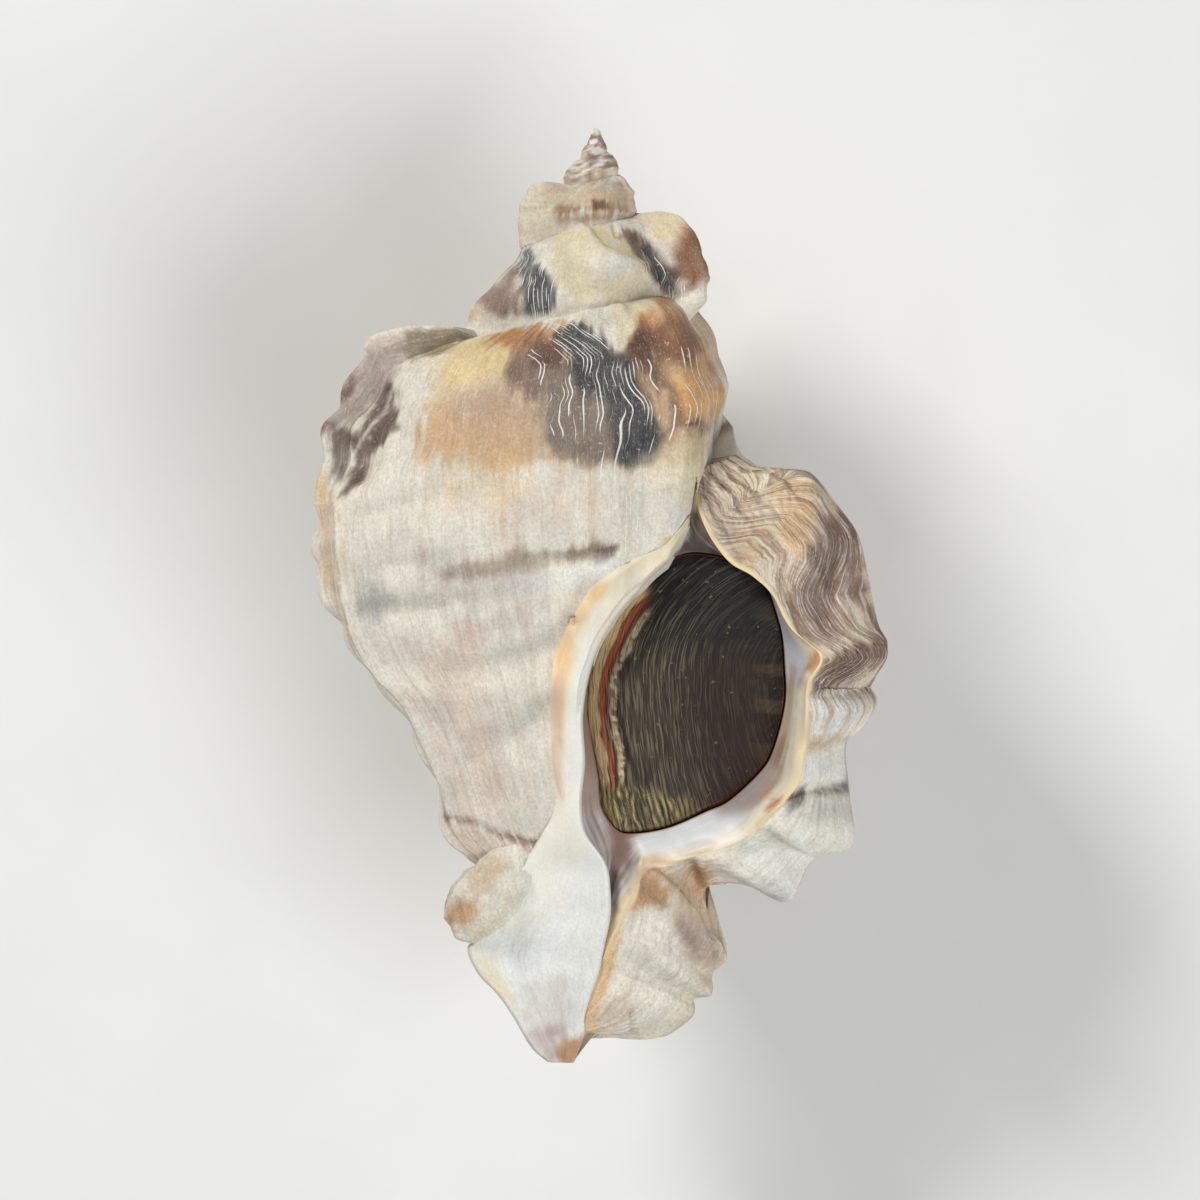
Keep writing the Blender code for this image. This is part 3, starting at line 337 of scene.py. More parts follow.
# Colour areas: colour, strength, softness of the edge, and corners in plan
BODY_AREAS = (
    ("tan", 0.95, 0.6, ((-16.8, 28.8), (-2.2, 29.9), (0.6, 27.8), (4.5, 24.8), (7.3, 21.7),
        (8.9, 17.7), (11.7, 18.4), (11.8, 16.8), (10.1, 15.7), (5.6, 14.2), (0.1, 14.2), (-4.4, 14.4),
        (-8.8, 14.4), (-13.3, 14.2), (-17.7, 14.6), (-19.5, 15.5), (-19.9, 17.7), (-19.1, 20.1),
        (-18.2, 22.3), (-18.8, 23.9), (-18.2, 27.3))),
    ("cream_yellow", 0.8, 0.6, ((-17.7, 28.8), (-14.4, 29.5), (-11.1, 29.3), (-11.1, 23.4),
        (-15.5, 22.3), (-18.8, 21.7), (-19.4, 24.5))),
    ("yellow", 0.95, 0.5, ((-14.8, 29.5), (-9.3, 29.5), (-8.4, 27.1), (-9.3, 24.8), (-13.3, 23.5),
        (-16.6, 22.4), (-17.3, 24.5), (-16.4, 27.3))),
    ("orange", 0.75, 0.2, ((-12.5, 29.5), (-8.3, 29.5), (-7.7, 28.1), (-10.5, 27.6), (-12.2, 28.2))),
    ("mauve", 0.3, 0.8, ((-14.4, 22.8), (-6.6, 23.9), (-4.4, 19.5), (-5.5, 16.7), (-14.4, 17.3),
        (-16.1, 20.1))),
    ("orange", 0.2, 1.0, ((-19.6, 20.8), (-13.3, 19.2), (-6.6, 18.0), (-5.6, 14.9), (-13.3, 14.4),
        (-19.4, 15.0))),
    ("mauve_brown", 0.85, 0.4, ((-9.7, 27.7), (-4.4, 27.9), (-3.3, 23.4), (-4.8, 21.3), (-8.4, 21.9),
        (-10.2, 24.8))),
    ("orange_brown", 0.8, 0.4, ((-13.2, 29.6), (-3.7, 29.9), (-2.6, 28.4), (-4.6, 27.2), (-8.5, 26.9),
        (-12.4, 27.6))),
    ("maroon", 0.75, 0.4, ((-8.2, 28.2), (-5.2, 28.6), (-2.8, 26.4), (-1.4, 23.6), (-3.4, 22.6),
        (-5.6, 24.6), (-7.6, 26.0))),
    ("olive_grey", 0.95, 0.5, ((-6.6, 24.4), (-1.1, 26.7), (3.6, 22.3), (5.6, 18.4), (5.4, 14.8),
        (0.1, 14.6), (-4.4, 15.3), (-6.3, 16.8), (-6.4, 20.6))),
    ("blue_black", 0.97, 0.3, ((-5.1, 29.1), (-2.2, 30.1), (0.1, 28.9), (1.4, 27.3), (3.4, 25.9),
        (4.1, 23.4), (5.4, 20.6), (6.7, 17.7), (5.8, 14.6), (2.3, 14.6), (0.9, 17.3), (-0.2, 20.6),
        (-1.7, 23.4), (-3.9, 26.2))),
    ("cream_yellow", 0.6, 0.6, ((4.5, 14.6), (11.7, 17.5), (11.6, 12.8), (10.3, 10.6), (6.2, 11.7),
        (4.5, 12.8))),
    ("tan", 0.4, 0.6, ((10.1, 17.3), (11.8, 18.4), (11.8, 10.6), (10.7, 10.6), (11.2, 13.9))),
    ("olive", 0.6, 0.3, ((-16.6, 3.4), (-8.8, 4.6), (-2.2, 5.3), (1.4, 5.7), (2.1, 5.1), (0.1, 4.1),
        (-4.4, 3.3), (-11.1, 2.3), (-16.6, 2.1))),
    ("olive", 0.7, 0.1, ((-4.4, 4.8), (0.7, 5.6), (1.8, 5.3), (0.1, 4.3), (-3.7, 3.9))),
    ("shadow", 0.45, 0.06, ((-0.2, 4.8), (2.3, 5.8), (1.8, 4.6), (0.4, 3.5), (-0.4, 3.5))),
    # Pale band on the raised fold, partly its own pale colour and partly painted light on its crest
    ("white", 0.8, 0.5, ((-11.1, 1.5), (-1.1, 3.3), (2.5, 3.7), (0.1, 2.1), (-4.4, 0.6),
        (-10.5, -0.5))),
    # Painted shade of a soft fold
    ("grey", 0.6, 0.6, ((-26.4, 1.7), (-23.1, 1.9), (-22.4, -0.5), (-24.6, -2.9), (-26.4, -1.8))),
    # Painted shadow in the groove below the fold
    ("mauve", 0.4, 0.7, ((-16.1, -3.3), (-8.8, -1.6), (-7.2, -2.5), (-9.9, -4.1), (-14.9, -4.7))),
    ("pink", 0.4, 1, ((-18.8, 12.8), (-4.4, 12.8), (2.3, 10.6), (-4.4, 7.3), (-17.7, 8.4))),
    ("yellow", 0.3, 1, ((-17.7, 13.9), (-8.8, 13.9), (-6.6, 10.6), (-17.7, 9.5))),
    ("mauve", 0.3, 1.2, ((-18.8, 3.9), (-8.8, 3.9), (-4.4, 2.3), (-8.8, -1.1), (-17.7, 0.6))),
    ("pink", 0.45, 1.2, ((-22.2, -4.9), (-14.4, -4.9), (-8.8, -22.7), (-14.4, -24.9), (-18.8, -16.1))),
    ("white", 0.6, 0.3, ((11.8, 12.6), (10.1, 9.5), (6.7, 6.7), (3.6, 4.4), (0.1, 2.3), (-2.2, -0.5),
        (-3.7, -4.9), (-2.2, -6.1), (0.5, -0.9), (5.6, 3.9), (11.2, 8.4))),
    ("tan", 0.35, 0.4, ((-5.7, -4.9), (-4.4, -0.9), (-1.1, 2.1), (0.3, 1.7), (-2.4, -1.8),
        (-3.9, -6.1), (-4.6, -11.6), (-5.5, -13.8))),
    ("orange", 0.6, 0.15, ((6.9, 6.4), (7.8, 6.6), (8.3, 5.6), (7.2, 5.2))),
    # Painted shade in the small pit beside the callus
    ("charcoal", 0.85, 0.04, ((-3.7, -2.9), (-2.8, -2.1), (-2.2, -2.5), (-2.9, -3.8))),
    ("pink", 0.6, 0.5, ((-17.2, -24.7), (-13.8, -25.2), (-11.4, -26.6), (-6.6, -27.7), (-7.9, -29.7),
        (-12.5, -28.8), (-16.6, -27.7))),
    ("mauve_brown", 0.6, 0.06, ((-17.2, -24.5), (-13.8, -25.1), (-11.3, -26.5), (-6.6, -27.6),
        (-6.6, -28.1), (-11.5, -26.9), (-13.9, -25.5), (-17.2, -24.9))),
)
NODULE_AREAS = (
    ("cream_yellow", 0.9, 0.5, ((-1.1, 33.9), (10.1, 34.6), (7.8, 31.9), (5.2, 30.1), (3.8, 27.8),
        (3.2, 24.8), (1.6, 25.5), (0.5, 27.8), (-0.6, 29.5), (-2.2, 30.1))),
    ("orange_brown", 0.9, 0.4, ((6.7, 33.1), (10.5, 31.5), (12.1, 27.8), (13.8, 22.8), (13.8, 20.4),
        (12.3, 18.8), (11.2, 17.5), (6.7, 16.4), (5.2, 18.2), (5.4, 20.4), (3.6, 22.6), (2.7, 25.1),
        (3.6, 28.4), (5.4, 31.3))),
    ("orange", 0.75, 0.6, ((9.4, 25.3), (12.8, 23.1), (13.8, 20.7), (11.6, 19.5), (9.2, 20.2),
        (7.6, 22.4))),
    ("brown", 0.9, 0.35, ((7.2, 31.5), (9.8, 30.4), (11.2, 27.3), (9.6, 24.4), (7.2, 25.7),
        (5.2, 27.8))),
    ("maroon", 0.9, 0.35, ((3.2, 28.4), (5.2, 29.5), (6.5, 26.2), (7.8, 22.3), (8.9, 19.7),
        (8.1, 17.9), (5.6, 19.1), (5.4, 20.8), (3.6, 22.3), (2.7, 25.1))),
    ("maroon", 0.95, 0.1, ((5.6, 18.2), (11.2, 19.4), (12.3, 18.6), (11.4, 17.3), (7.6, 16.2),
        (4.5, 14.6), (3.4, 15.6))),
    ("yellow", 0.5, 0.3, ((6.7, 25.5), (8.1, 25.9), (10.1, 24.8), (8.9, 23.5), (7.2, 23.9))),
    ("grey", 0.5, 0.4, ((11.8, 19.5), (13.6, 20.4), (14.6, 19.7), (15.1, 15.6), (11.8, 15.9))),
)
SPIRE_AREAS = (
    ("mauve_brown", 0.95, 0.3, ((-13.9, 32.8), (-10.7, 36.4), (-9.2, 38.3), (-8.6, 33.9), (-8.2, 31.3),
        (-10.5, 30.7), (-12.4, 31.1))),
    ("tan", 0.8, 0.4, ((-14.6, 31.9), (-13.3, 33.1), (-11.9, 31.1), (-11.1, 30.4), (-14.4, 30.2),
        (-15.5, 29.7))),
    ("blue_black", 0.97, 0.12, ((-9.2, 38.6), (-7.7, 38.8), (-6.6, 37.1), (-5.3, 35.3), (-4.8, 32.8),
        (-5.3, 31.1), (-7.7, 30.9), (-8.6, 32.8), (-9.1, 35.6))),
    ("cream", 0.85, 0.25, ((-15.7, 29.8), (-11.1, 30.5), (-4.4, 31.3), (-1.1, 32.6), (-1.1, 30.4),
        (-4.4, 29.4), (-15.5, 29.2))),
    ("cream_yellow", 0.85, 0.4, ((-5.9, 37.7), (-4.4, 40.8), (0.1, 41.5), (4.5, 39.5), (7.6, 35.6),
        (8.1, 33.1), (4.5, 33.3), (0.1, 32.8), (-2.7, 32.8), (-4.4, 34.5))),
    ("yellow", 0.5, 0.5, ((-4.4, 40.4), (0.1, 41.2), (3.2, 40.4), (5.6, 37.7), (6.2, 35.6),
        (3.4, 37.3), (0.1, 38.8))),
    ("white", 0.65, 0.5, ((-0.8, 37.1), (1.2, 37.9), (3.4, 37.1), (3.6, 35.6), (1.4, 34.5),
        (-0.5, 35.3))),
    ("mauve_brown", 0.95, 0.1, ((2.2, 41.2), (5.2, 40.0), (8.2, 36.4), (9.8, 33.2), (8.2, 32.4),
        (6.4, 34.6), (4.2, 37.2), (2.2, 39.8))),
    ("blue_black", 0.95, 0.1, ((4.0, 39.9), (5.8, 39.0), (7.8, 36.8), (9.4, 33.7), (8.1, 33.0),
        (6.4, 35.1), (4.9, 37.7))),
    ("yellow", 0.8, 0.3, ((4.5, 43.3), (8.5, 42.8), (9.8, 41.9), (8.9, 40.4), (8.1, 39.5),
        (6.2, 39.9), (5.1, 41.5))),
    ("orange_brown", 0.9, 0.25, ((8.3, 40.2), (9.8, 42.1), (11.4, 41.0), (10.5, 38.0), (8.0, 37.5))),
    ("brown", 0.95, 0.2, ((9.0, 40.2), (10.4, 41.4), (11.8, 39.9), (12.5, 35.6), (11.2, 33.9),
        (9.4, 34.3), (8.3, 35.9), (7.8, 38.2))),
    # Painted highlight along the ridge of the penultimate whorl
    ("white", 0.9, 0.0, ((-1.3, 40.1), (-0.2, 37.9), (4.4, 37.0), (7.2, 33.1), (6.9, 32.9),
        (4.2, 36.6), (-0.1, 37.4), (-1.0, 40.0))),
    ("cream", 0.8, 0.3, ((8.5, 33.1), (12.3, 34.4), (11.6, 31.2), (10.7, 30.4), (9.4, 31.5))),
    ("cream_yellow", 0.8, 0.3, ((-9.2, 43.4), (-7.7, 45.9), (-5.3, 45.7), (-5.5, 42.3), (-5.7, 40.4),
        (-9.1, 38.9))),
    ("tan", 0.8, 0.3, ((-6.1, 45.3), (-1.1, 45.7), (3.6, 45.1), (4.3, 42.8), (0.1, 42.4),
        (-4.8, 42.4))),
    ("brown", 0.6, 0.15, ((-4.4, 43.4), (0.1, 43.6), (3.6, 43.5), (3.8, 42.9), (0.1, 42.8),
        (-4.2, 42.6))),
    ("maroon", 0.75, 0.05, ((-0.9, 43.9), (0.6, 44.1), (0.9, 43.2), (-0.6, 42.9))),
    ("brown", 0.5, 0.15, ((-4.8, 42.1), (0.1, 42.4), (4.1, 42.7), (4.1, 42.2), (0.1, 41.6),
        (-4.6, 41.4))),
    ("cream", 0.6, 0.2, ((-4.8, 41.3), (1.2, 41.6), (4.1, 42.2), (3.6, 41.1), (0.1, 40.8),
        (-4.8, 40.4))),
    ("yellow", 0.75, 0.15, ((-1.9, 47.7), (-0.8, 48.4), (-0.4, 47.1), (-0.4, 45.5), (-1.5, 45.7))),
    ("orange", 0.6, 0.15, ((-5.4, 46.2), (-4.8, 47.3), (-3.3, 47.6), (-3.1, 45.9), (-4.8, 45.5))),
    ("white", 0.7, 0.15, ((-0.2, 48.2), (1.8, 47.9), (2.9, 46.6), (2.3, 45.9), (0.5, 46.4))),
    ("charcoal", 0.7, 0.08, ((0.1, 47.9), (0.9, 47.7), (1.1, 47.1), (0.3, 47.1))),
    ("mauve", 0.5, 0.15, ((-3.1, 49.3), (-1.9, 50.4), (0.5, 49.9), (0.9, 48.6), (-1.1, 48.2),
        (-3.1, 47.5))),
    ("white", 0.5, 0.1, ((-1.3, 49.5), (0.1, 49.7), (0.3, 49.2), (-1.1, 48.9))),
    ("mauve_brown", 0.6, 0.1, ((-1.1, 51.1), (-0.4, 51.3), (-0.2, 50.5), (-1.1, 50.4))),
)
LEFT_WING_AREAS = (
    ("mauve", 0.8, 0.35, ((-27.2, 26.7), (-21.9, 28.6), (-22.7, 24.5), (-24.4, 22.3), (-26.4, 20.4),
        (-28.3, 18.9), (-30.8, 18.4), (-28.3, 23.4))),
    ("maroon", 0.6, 0.2, ((-31.3, 18.2), (-30.4, 19.7), (-29.3, 20.8), (-27.5, 22.6), (-27.1, 25.9),
        (-27.5, 26.4), (-28.3, 23.4), (-29.7, 20.8), (-31.3, 18.9))),
    ("pink", 0.6, 0.3, ((-25.7, 28.2), (-23.1, 28.9), (-21.1, 30.2), (-19.5, 29.7), (-21.7, 28.4),
        (-24.4, 27.7))),
    # The olive patch below is painted shade in the fold between the top of the wing and the body
    ("olive", 0.75, 0.15, ((-21.7, 29.5), (-15.8, 29.7), (-15.2, 28.9), (-16.4, 27.5), (-18.2, 26.6),
        (-20.8, 26.1), (-21.8, 27.1))),
    # The pocket colour here is painted shadow, cast by the raised edge of the front lamella and by the lobes
    # of the outer lamella
    ("pocket_shadow", 0.9, 0.08, ((-23.2, 23.9), (-22.5, 21.7), (-22.5, 19.7), (-24.2, 18.4), (-25.9, 17.1),
        (-27.3, 15.9), (-27.4, 17.6), (-25.8, 19.7), (-24.5, 21.5), (-23.7, 23.1))),
    ("pocket_shadow", 0.9, 0.08, ((-27.5, 17.3), (-25.3, 17.3), (-24.4, 18.6), (-22.4, 20.2), (-22.2, 18.4),
        (-24.4, 16.6), (-25.4, 15.1), (-25.9, 13.1), (-27.7, 11.5), (-29.1, 10.8), (-27.7, 12.6),
        (-27.1, 14.5))),
    ("pocket_shadow", 0.85, 0.2, ((-29.5, 18.9), (-27.7, 18.2), (-27.6, 15.6), (-27.5, 13.7), (-28.3, 12.3),
        (-29.4, 13.5), (-29.8, 16.6))),
    ("tan", 0.55, 0.3, ((-31.5, 12.4), (-29.4, 11.5), (-29.2, 5.0), (-28.7, 0.0), (-30.5, 0.5),
        (-31.4, 6.0))),
    ("orange", 0.45, 0.2, ((-31.3, 13.9), (-30.4, 14.2), (-30.5, 10.6), (-30.8, 7.3), (-31.5, 7.3),
        (-31.3, 10.6))),
    ("orange", 0.35, 0.2, ((-31.9, 5.3), (-29.9, 2.8), (-30.4, 0.1), (-30.8, 1.7))),
    ("pink", 0.6, 0.3, ((-30.4, 0.6), (-28.8, -0.5), (-26.6, -6.1), (-27.5, -6.6), (-29.1, -3.8))),
)

# Painted lines: colour, strength, half width, and points in plan; the cream line is the pale edge of the
# front lamella brightened as a painted highlight, the olive line a painted shadow beside that edge
WING_EDGE_LIGHT_AND_SHADE = (
    ("cream", 0.7, 0.28, ((-17.0, 26.6), (-21.6, 25.2), (-23.0, 22.6), (-23.8, 20.2), (-25.2, 18.9),
        (-26.4, 17.2), (-27.8, 14.6), (-28.4, 12.4), (-29.4, 10.6), (-29.0, 5.6), (-28.6, 0.6),
        (-27.6, -4.0))),
    ("olive", 0.4, 0.2, ((-29.6, 10.2), (-29.2, 7.6), (-29.4, 5.6), (-28.9, 2.6), (-28.9, 0.6),
        (-28.0, -3.0))),
)
LIP_AREAS = (
    ("cream_yellow", 0.85, 0.6, ((13.4, 15.1), (17.8, 13.9), (22.3, 13.9), (23.9, 11.7), (22.3, 8.4),
        (17.8, 6.2), (15.1, 5.6), (13.6, 9.5))),
    ("tan", 0.8, 0.6, ((13.6, 10.1), (16.2, 10.6), (17.8, 8.4), (18.9, 3.9), (16.2, 3.1), (14.3, 5.6))),
    ("orange", 0.5, 0.6, ((18.7, 11.7), (22.3, 13.3), (24.3, 12.6), (23.9, 9.5), (23.6, 6.2),
        (22.1, 3.7), (20.1, 5.6), (19.2, 8.4))),
    ("orange_brown", 0.8, 0.12, ((23.5, 12.4), (24.2, 12.4), (24.2, 11.7), (23.5, 11.7))),
    ("mauve_brown", 0.9, 0.5, ((23.8, 5.3), (24.7, 8.4), (27.4, 9.7), (29.2, 5.3), (30.1, 0.4),
        (27.8, -1.2), (25.1, 0.4), (23.6, 2.6))),
    ("maroon", 0.85, 0.3, ((26.5, 10.1), (28.1, 9.3), (29.2, 6.2), (27.8, 5.6), (26.5, 7.5))),
    ("mauve_brown", 0.75, 0.5, ((21.2, 1.7), (23.6, 3.9), (25.6, -0.5), (28.1, -2.5), (25.6, -5.2),
        (23.4, -3.6), (21.2, -0.5))),
    ("cream_yellow", 0.5, 0.5, ((26.7, -1.8), (29.5, -0.5), (30.3, -3.3), (28.9, -5.5), (26.5, -6.1))),
    ("maroon", 0.8, 0.4, ((29.8, -1.2), (32.1, -4.4), (31.8, -7.2), (29.2, -8.9), (26.7, -9.8),
        (23.9, -10.5), (22.5, -9.6), (25.2, -7.6), (29.6, -5.6))),
    ("white", 0.9, 0.4, ((23.6, -11.6), (27.8, -10.5), (30.3, -9.8), (30.7, -12.2), (29.2, -14.7),
        (25.6, -15.5), (23.6, -14.1))),
    ("cream_yellow", 0.7, 0.3, ((29.6, -9.8), (30.9, -11.6), (30.3, -13.2), (28.7, -14.9),
        (28.5, -14.3), (29.8, -12.3))),
    ("tan", 0.75, 0.25, ((22.9, -16.3), (27.3, -15.2), (27.4, -16.3), (25.4, -17.2), (23.2, -17.6))),
    ("white", 0.9, 0.3, ((22.3, -18.1), (27.4, -16.7), (27.8, -21.2), (22.8, -21.4))),
    ("charcoal", 0.8, 0.3, ((19.6, -22.1), (22.3, -21.5), (27.4, -20.7), (27.8, -21.6), (24.7, -22.5),
        (21.2, -23.6))),
    ("grey", 0.45, 0.5, ((20.3, -23.4), (27.8, -21.8), (28.1, -25.2), (22.3, -25.4))),
    ("white", 0.6, 0.5, ((21.2, -25.6), (28.1, -25.2), (28.1, -27.4), (23.9, -27.8), (21.2, -27.4))),
    ("white", 0.7, 0.5, ((15.1, -27.2), (21.2, -26.9), (23.6, -28.3), (23.6, -31.6), (21.2, -33.8),
        (17.8, -32.2), (15.6, -30.7))),
    ("grey", 0.5, 0.3, ((18.7, -31.6), (21.2, -34.1), (19.5, -34.3), (17.3, -32.7), (16.2, -31.8))),
    ("tan", 0.7, 0.5, ((4.7, -30.3), (6.2, -31.1), (7.6, -33.3), (5.6, -34.4), (3.6, -34.4),
        (1.8, -36.6), (0.7, -39.4), (0.1, -38.8), (1.2, -35.5), (2.8, -32.7))),
    ("tan", 0.6, 0.5, ((6.2, -30.7), (11.2, -29.2), (12.5, -32.7), (12.5, -36.6), (14.1, -39.4),
        (12.7, -42.2), (12.9, -43.8), (11.2, -44.4), (10.1, -40.5), (8.9, -37.2), (7.6, -33.3))),
    ("orange_brown", 0.6, 0.3, ((10.1, -29.6), (12.5, -29.6), (12.3, -32.7), (11.4, -34.4),
        (10.1, -32.7))),
    ("mauve", 0.6, 0.3, ((8.9, -34.4), (12.3, -37.2), (13.6, -39.9), (12.5, -42.2), (10.1, -40.5),
        (8.7, -37.2))),
    ("cream", 0.8, 0.5, ((1.4, -40.3), (3.6, -34.7), (5.8, -34.7), (8.1, -37.6), (9.8, -41.6),
        (10.3, -46.3), (6.7, -49.2), (0.3, -48.7), (-0.8, -46.3))),
    ("orange_brown", 0.5, 0.3, ((2.8, -31.0), (4.6, -30.2), (6.4, -31.6), (7.6, -34.4), (5.6, -34.0),
        (3.6, -35.4), (2.2, -33.4))),
    ("orange", 0.6, 0.3, ((0.9, -34.2), (2.1, -35.4), (1.8, -39.9), (1.0, -43.3), (0.5, -46.3),
        (-0.8, -49.0), (-2.5, -49.0), (-2.2, -46.1), (-0.9, -41.1), (0.1, -37.2))),
    ("cream_yellow", 0.5, 0.4, ((10.1, -43.3), (10.6, -46.9), (8.5, -48.7), (5.6, -49.6), (3.8, -49.7),
        (6.7, -47.7), (8.9, -44.9))),
    ("pink", 0.5, 0.4, ((-0.4, -44.9), (2.8, -43.3), (3.6, -46.1), (1.7, -48.8), (0.1, -48.7))),
)
WALL_AREAS = (
    ("orange_brown", 0.85, 0.2, ((23.2, -6.6), (24.1, -6.3), (24.3, -7.6), (23.4, -8.5), (22.7, -8.1))),
    ("mauve", 0.8, 0.3, ((21.6, -8.1), (22.5, -7.6), (22.6, -9.6), (21.9, -10.3))),
    ("cream_yellow", 0.6, 0.4, ((20.1, -10.5), (22.7, -10.5), (22.3, -19.4), (20.1, -22.2),
        (15.6, -27.7), (13.9, -27.2), (17.8, -22.7), (20.1, -17.2))),
    # Mauve-brown of the wall, carried on as painted shade next to the edge of the operculum
    ("mauve_brown", 0.5, 0.4, ((16.9, -18.3), (19.6, -16.2), (20.0, -19.9), (18.5, -22.7),
        (16.2, -24.2), (13.4, -24.6), (12.6, -23.0), (15.2, -21.2))),
    # Painted shade in the gap by the right edge of the operculum
    ("gap", 0.35, 0.4, ((19.6, -8.5), (21.3, -9.5), (21.2, -14.0), (19.6, -18.6), (18.6, -17.0))),
    ("orange_brown", 0.85, 0.2, ((18.5, -22.1), (19.8, -21.8), (19.8, -23.2), (18.7, -23.6))),
    ("orange_brown", 0.7, 0.3, ((4.5, -29.2), (6.2, -28.5), (8.1, -29.6), (7.3, -30.9), (5.6, -30.5))),
    ("white", 0.5, 0.6, ((2.8, -26.6), (8.9, -25.2), (14.5, -24.4), (17.3, -24.7), (15.6, -28.1),
        (11.2, -28.3), (5.6, -29.6), (3.4, -28.8))),
)
CHANNEL_AREAS = (
    ("mauve_brown", 0.85, 0.5, ((-1.9, -21.6), (0.1, -24.4), (4.5, -26.1), (3.6, -30.1), (1.4, -34.4),
        (0.5, -34.9), (0.7, -30.5), (-1.1, -27.2))),
    ("shadow", 0.75, 0.5, ((8.1, 3.9), (10.1, 8.4), (11.8, 9.7), (12.9, 6.2), (13.6, 3.7),
        (11.2, 4.4))),
)
CALLUS_AREAS = (
    ("cream_yellow", 0.8, 0.5, ((4.5, 6.2), (10.1, 10.6), (11.2, 8.4), (6.7, 3.9), (2.3, 0.6),
        (0.1, -0.5), (-1.6, 0.6))),
    ("orange", 0.55, 0.4, ((-6.1, -7.2), (-4.4, -2.7), (-1.7, 0.6), (0.7, 1.3), (-1.1, -1.8),
        (-2.8, -6.1), (-3.7, -10.5), (-4.4, -16.1), (-5.3, -13.8))),
    ("pink", 0.7, 0.25, ((-5.7, -10.5), (-4.4, -9.4), (-3.9, -16.1), (-4.2, -22.7), (-4.8, -21.6),
        (-5.5, -16.1))),
    ("white", 0.9, 0.25, ((-3.1, -9.4), (-1.3, -4.9), (-0.4, -2.7), (-1.3, -9.4), (-1.5, -16.1),
        (-0.8, -21.6), (0.5, -26.1), (0.9, -30.1), (-0.8, -28.3), (-2.7, -24.4), (-3.7, -20.5),
        (-3.7, -14.9))),
    ("ivory", 0.5, 0.8, ((-6.6, -28.3), (-3.7, -25.2), (-1.7, -28.3), (-3.7, -32.2), (-6.8, -36.6),
        (-9.9, -37.6), (-10.7, -35.8), (-8.6, -32.7))),
    ("cream_yellow", 0.8, 0.7, ((-15.3, -38.8), (-11.9, -40.5), (-8.8, -46.6), (-11.1, -45.5),
        (-13.3, -42.5))),
    ("mauve", 0.6, 0.5, ((-7.7, -49.4), (-4.8, -48.1), (-4.2, -51.4), (-5.4, -52.5),
        (-7.3, -50.7))),
    ("orange_brown", 0.7, 0.25, ((-4.6, -50.3), (-1.5, -48.7), (-1.5, -50.5), (-3.2, -52.9),
        (-4.6, -51.6))),
    ("mauve", 0.3, 0.8, ((-9.4, -43.3), (-4.4, -42.7), (-2.2, -46.1), (-4.4, -49.4), (-8.3, -48.8))),
)
STUB_AREAS = (
    ("orange_brown", 0.7, 0.5, ((-17.3, -34.4), (-15.3, -33.1), (-13.8, -34.4), (-14.4, -36.6),
        (-16.4, -37.2), (-17.5, -36.3))),
    ("tan", 0.6, 0.4, ((-15.3, -30.5), (-11.1, -28.3), (-9.4, -29.6), (-12.2, -32.7), (-14.6, -32.9))),
    ("cream_yellow", 0.6, 0.3, ((-14.4, -37.2), (-11.1, -34.4), (-9.4, -31.6), (-9.7, -34.4),
        (-11.6, -37.2), (-14.2, -38.7))),
)

# How far the front of the canal reaches towards its left flap
CANAL_CLOSES = 1.1

# Growth lines of the lip wing bend away from an even spread: station, shift
LAMINA_BENDS = (
    (0, 0.0), (1.2, 0.10), (2.4, 0.34), (3.6, -0.26), (4.6, -0.22), (6.3, 0.22), (7.2, 0.10), (8.2, -0.22),
    (9.0, 0.12), (10.0, -0.12), (11.0, 0.08), (13.0, -0.05), (15.0, -0.06), (17.0, 0.05), (27.0, 0.0),
)

# Width of the leading face of the lip wing: station, width
LIP_WIDTHS = ((0, 5.0), (2, 10.0), (5, 12.0), (9, 8.0), (13, 8.0), (17, 7.0), (22, 10.0), (27, 4.0))

# Layers on it: spacing, waviness, height, random row, steepness of their edges
LAMINAE = ((1.9, 0.5, 0.28, 16, 0.12), (0.8, 1.0, 0.14, 13, 0.2), (0.36, 2.0, 0.05, 14, 0.3))

# Fine raised or sunken lines in plan: height, width on their left, width on their right, points
SPIRE_LINES = (
    (0.85, 0.45, 2.4, ((-1.1, 40.1), (0.1, 37.8), (4.5, 36.7), (7.3, 32.8))),
    (0.8, 2.0, 2.0, ((0.0, 36.6), (2.6, 36.0))),
    (-0.5, 0.6, 0.6, ((4.2, 39.6), (6.4, 37.5), (8.8, 33.6))),
    (-0.6, 1.2, 1.2, ((-5.0, 38.0), (-4.2, 34.0), (-3.0, 31.5))),
    (-0.35, 0.25, 0.25, ((1.6, 41.2), (1.9, 39.9))),
    (0.25, 0.35, 0.35, ((-5.0, 44.6), (0.0, 44.6), (3.6, 45.0))),
    (0.25, 0.35, 0.35, ((-5.4, 42.9), (0.0, 42.6), (3.9, 43.0))),
    (0.25, 0.35, 0.35, ((-8.5, 43.6), (-6.2, 43.4))),
    (0.3, 0.45, 0.45, ((4.5, 41.0), (8.0, 40.4), (10.8, 38.4))),
    (0.3, 0.45, 0.45, ((7.5, 36.4), (10.0, 36.0), (12.2, 35.2))),
)
